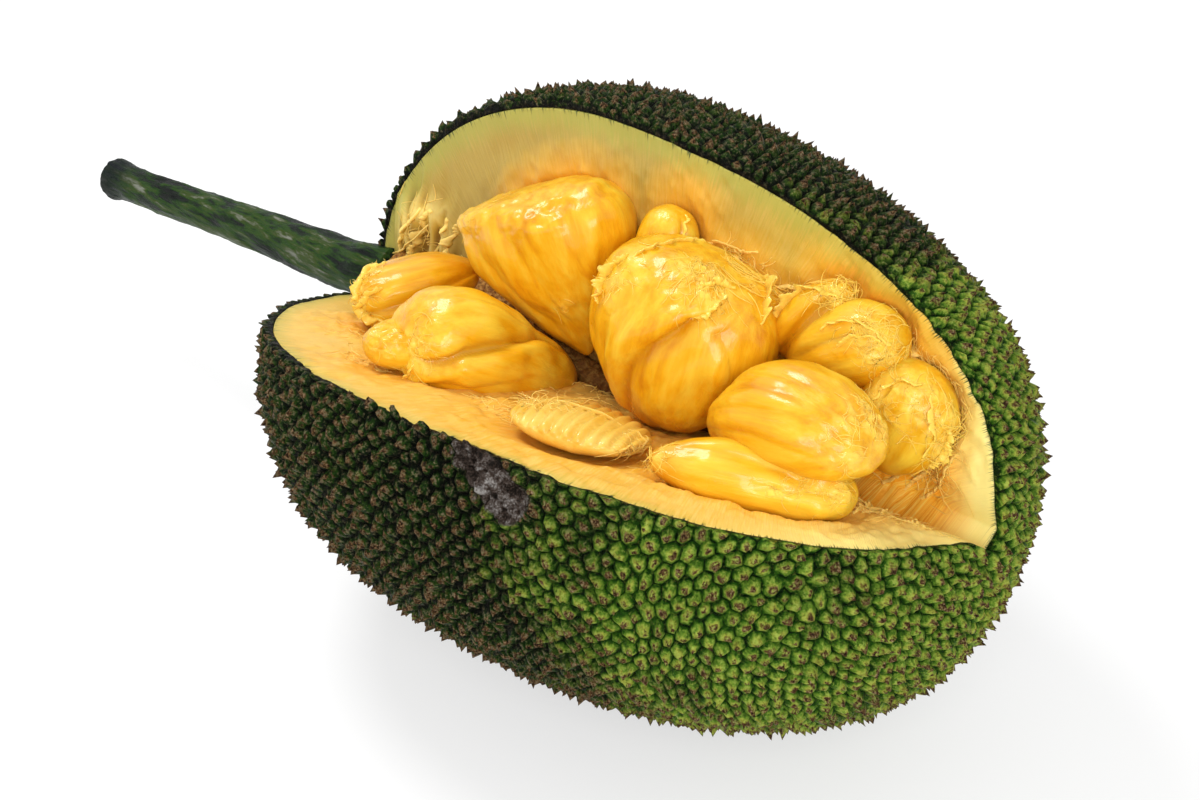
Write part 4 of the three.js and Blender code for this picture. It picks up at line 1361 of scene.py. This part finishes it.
def add_camera():
    data = bpy.data.cameras.new("camera")
    data.lens = CAMERA_LENS
    data.sensor_width = SENSOR_WIDTH
    data.sensor_fit = "HORIZONTAL"
    data.clip_start = 0.01
    camera = bpy.data.objects.new("camera", data)
    camera.location = CAMERA_AT
    view = Vector(CAMERA_TARGET) - Vector(CAMERA_AT)
    camera.rotation_euler = view.to_track_quat("-Z", "Y").to_euler()
    bpy.context.scene.collection.objects.link(camera)
    bpy.context.scene.camera = camera


def add_area_light(name, place, target, size, power):
    data = bpy.data.lights.new(name, "AREA")
    data.shape = "DISK"
    data.size = size
    data.energy = power
    light = bpy.data.objects.new(name, data)
    light.location = place
    light.rotation_euler = (Vector(target) - Vector(place)).to_track_quat("-Z", "Y").to_euler()
    bpy.context.scene.collection.objects.link(light)


def add_floor(half):
    points = [(-half, -half, 0), (half, -half, 0), (half, half, 0), (-half, half, 0)]
    floor = build_piece("floor", points, [(0, 1, 2, 3)])
    f = Finish("floor_finish", 0.9)
    f.shader.inputs["Emission Color"].default_value = (1, 1, 1, 1)
    f.shader.inputs["Emission Strength"].default_value = FLOOR_GLOW
    floor.data.materials.append(f.finish((0.40, 0.40, 0.40, 1)))


def add_world():
    world = bpy.data.worlds.new("studio")
    world.use_nodes = True
    background = world.node_tree.nodes["Background"]
    background.inputs["Color"].default_value = (1, 1, 1, 1)
    background.inputs["Strength"].default_value = WORLD_LIGHT
    bpy.context.scene.world = world


bpy.context.scene.view_settings.view_transform = "Standard"
add_camera()
add_floor(half=4000.0)
add_world()
add_area_light("key", (-0.65, -0.15, 1.35), target=(0.03, 0, 0.1), size=0.5, power=10)
add_area_light("side", (0.95, -0.85, 0.70), target=(0.06, 0, 0.1), size=0.8, power=10)

BULB_FINISH = bulb_finish("bulb_finish", (0.84, 0.57, 0.042), (0.80, 0.41, 0.008), (0.66, 0.25, 0.002),
                          (0.94, 0.66, 0.105))
HUSK_FINISH = bulb_finish("husk_finish", (0.84, 0.58, 0.12), (0.80, 0.47, 0.055), (0.62, 0.28, 0.012),
                          (0.90, 0.64, 0.15))

dress(rind_piece(), "rind", rind_finish())
dress(flesh_piece(), "flesh", flesh_finish())
dress(core_piece(), "core", core_finish())
dress(stalk_piece(), "stem", stalk_finish())
for bulb_name, pod in BULBS.items():
    finish = HUSK_FINISH if bulb_name == "husk" else BULB_FINISH
    dress(bulb_piece(bulb_name, pod), bulb_name, finish)
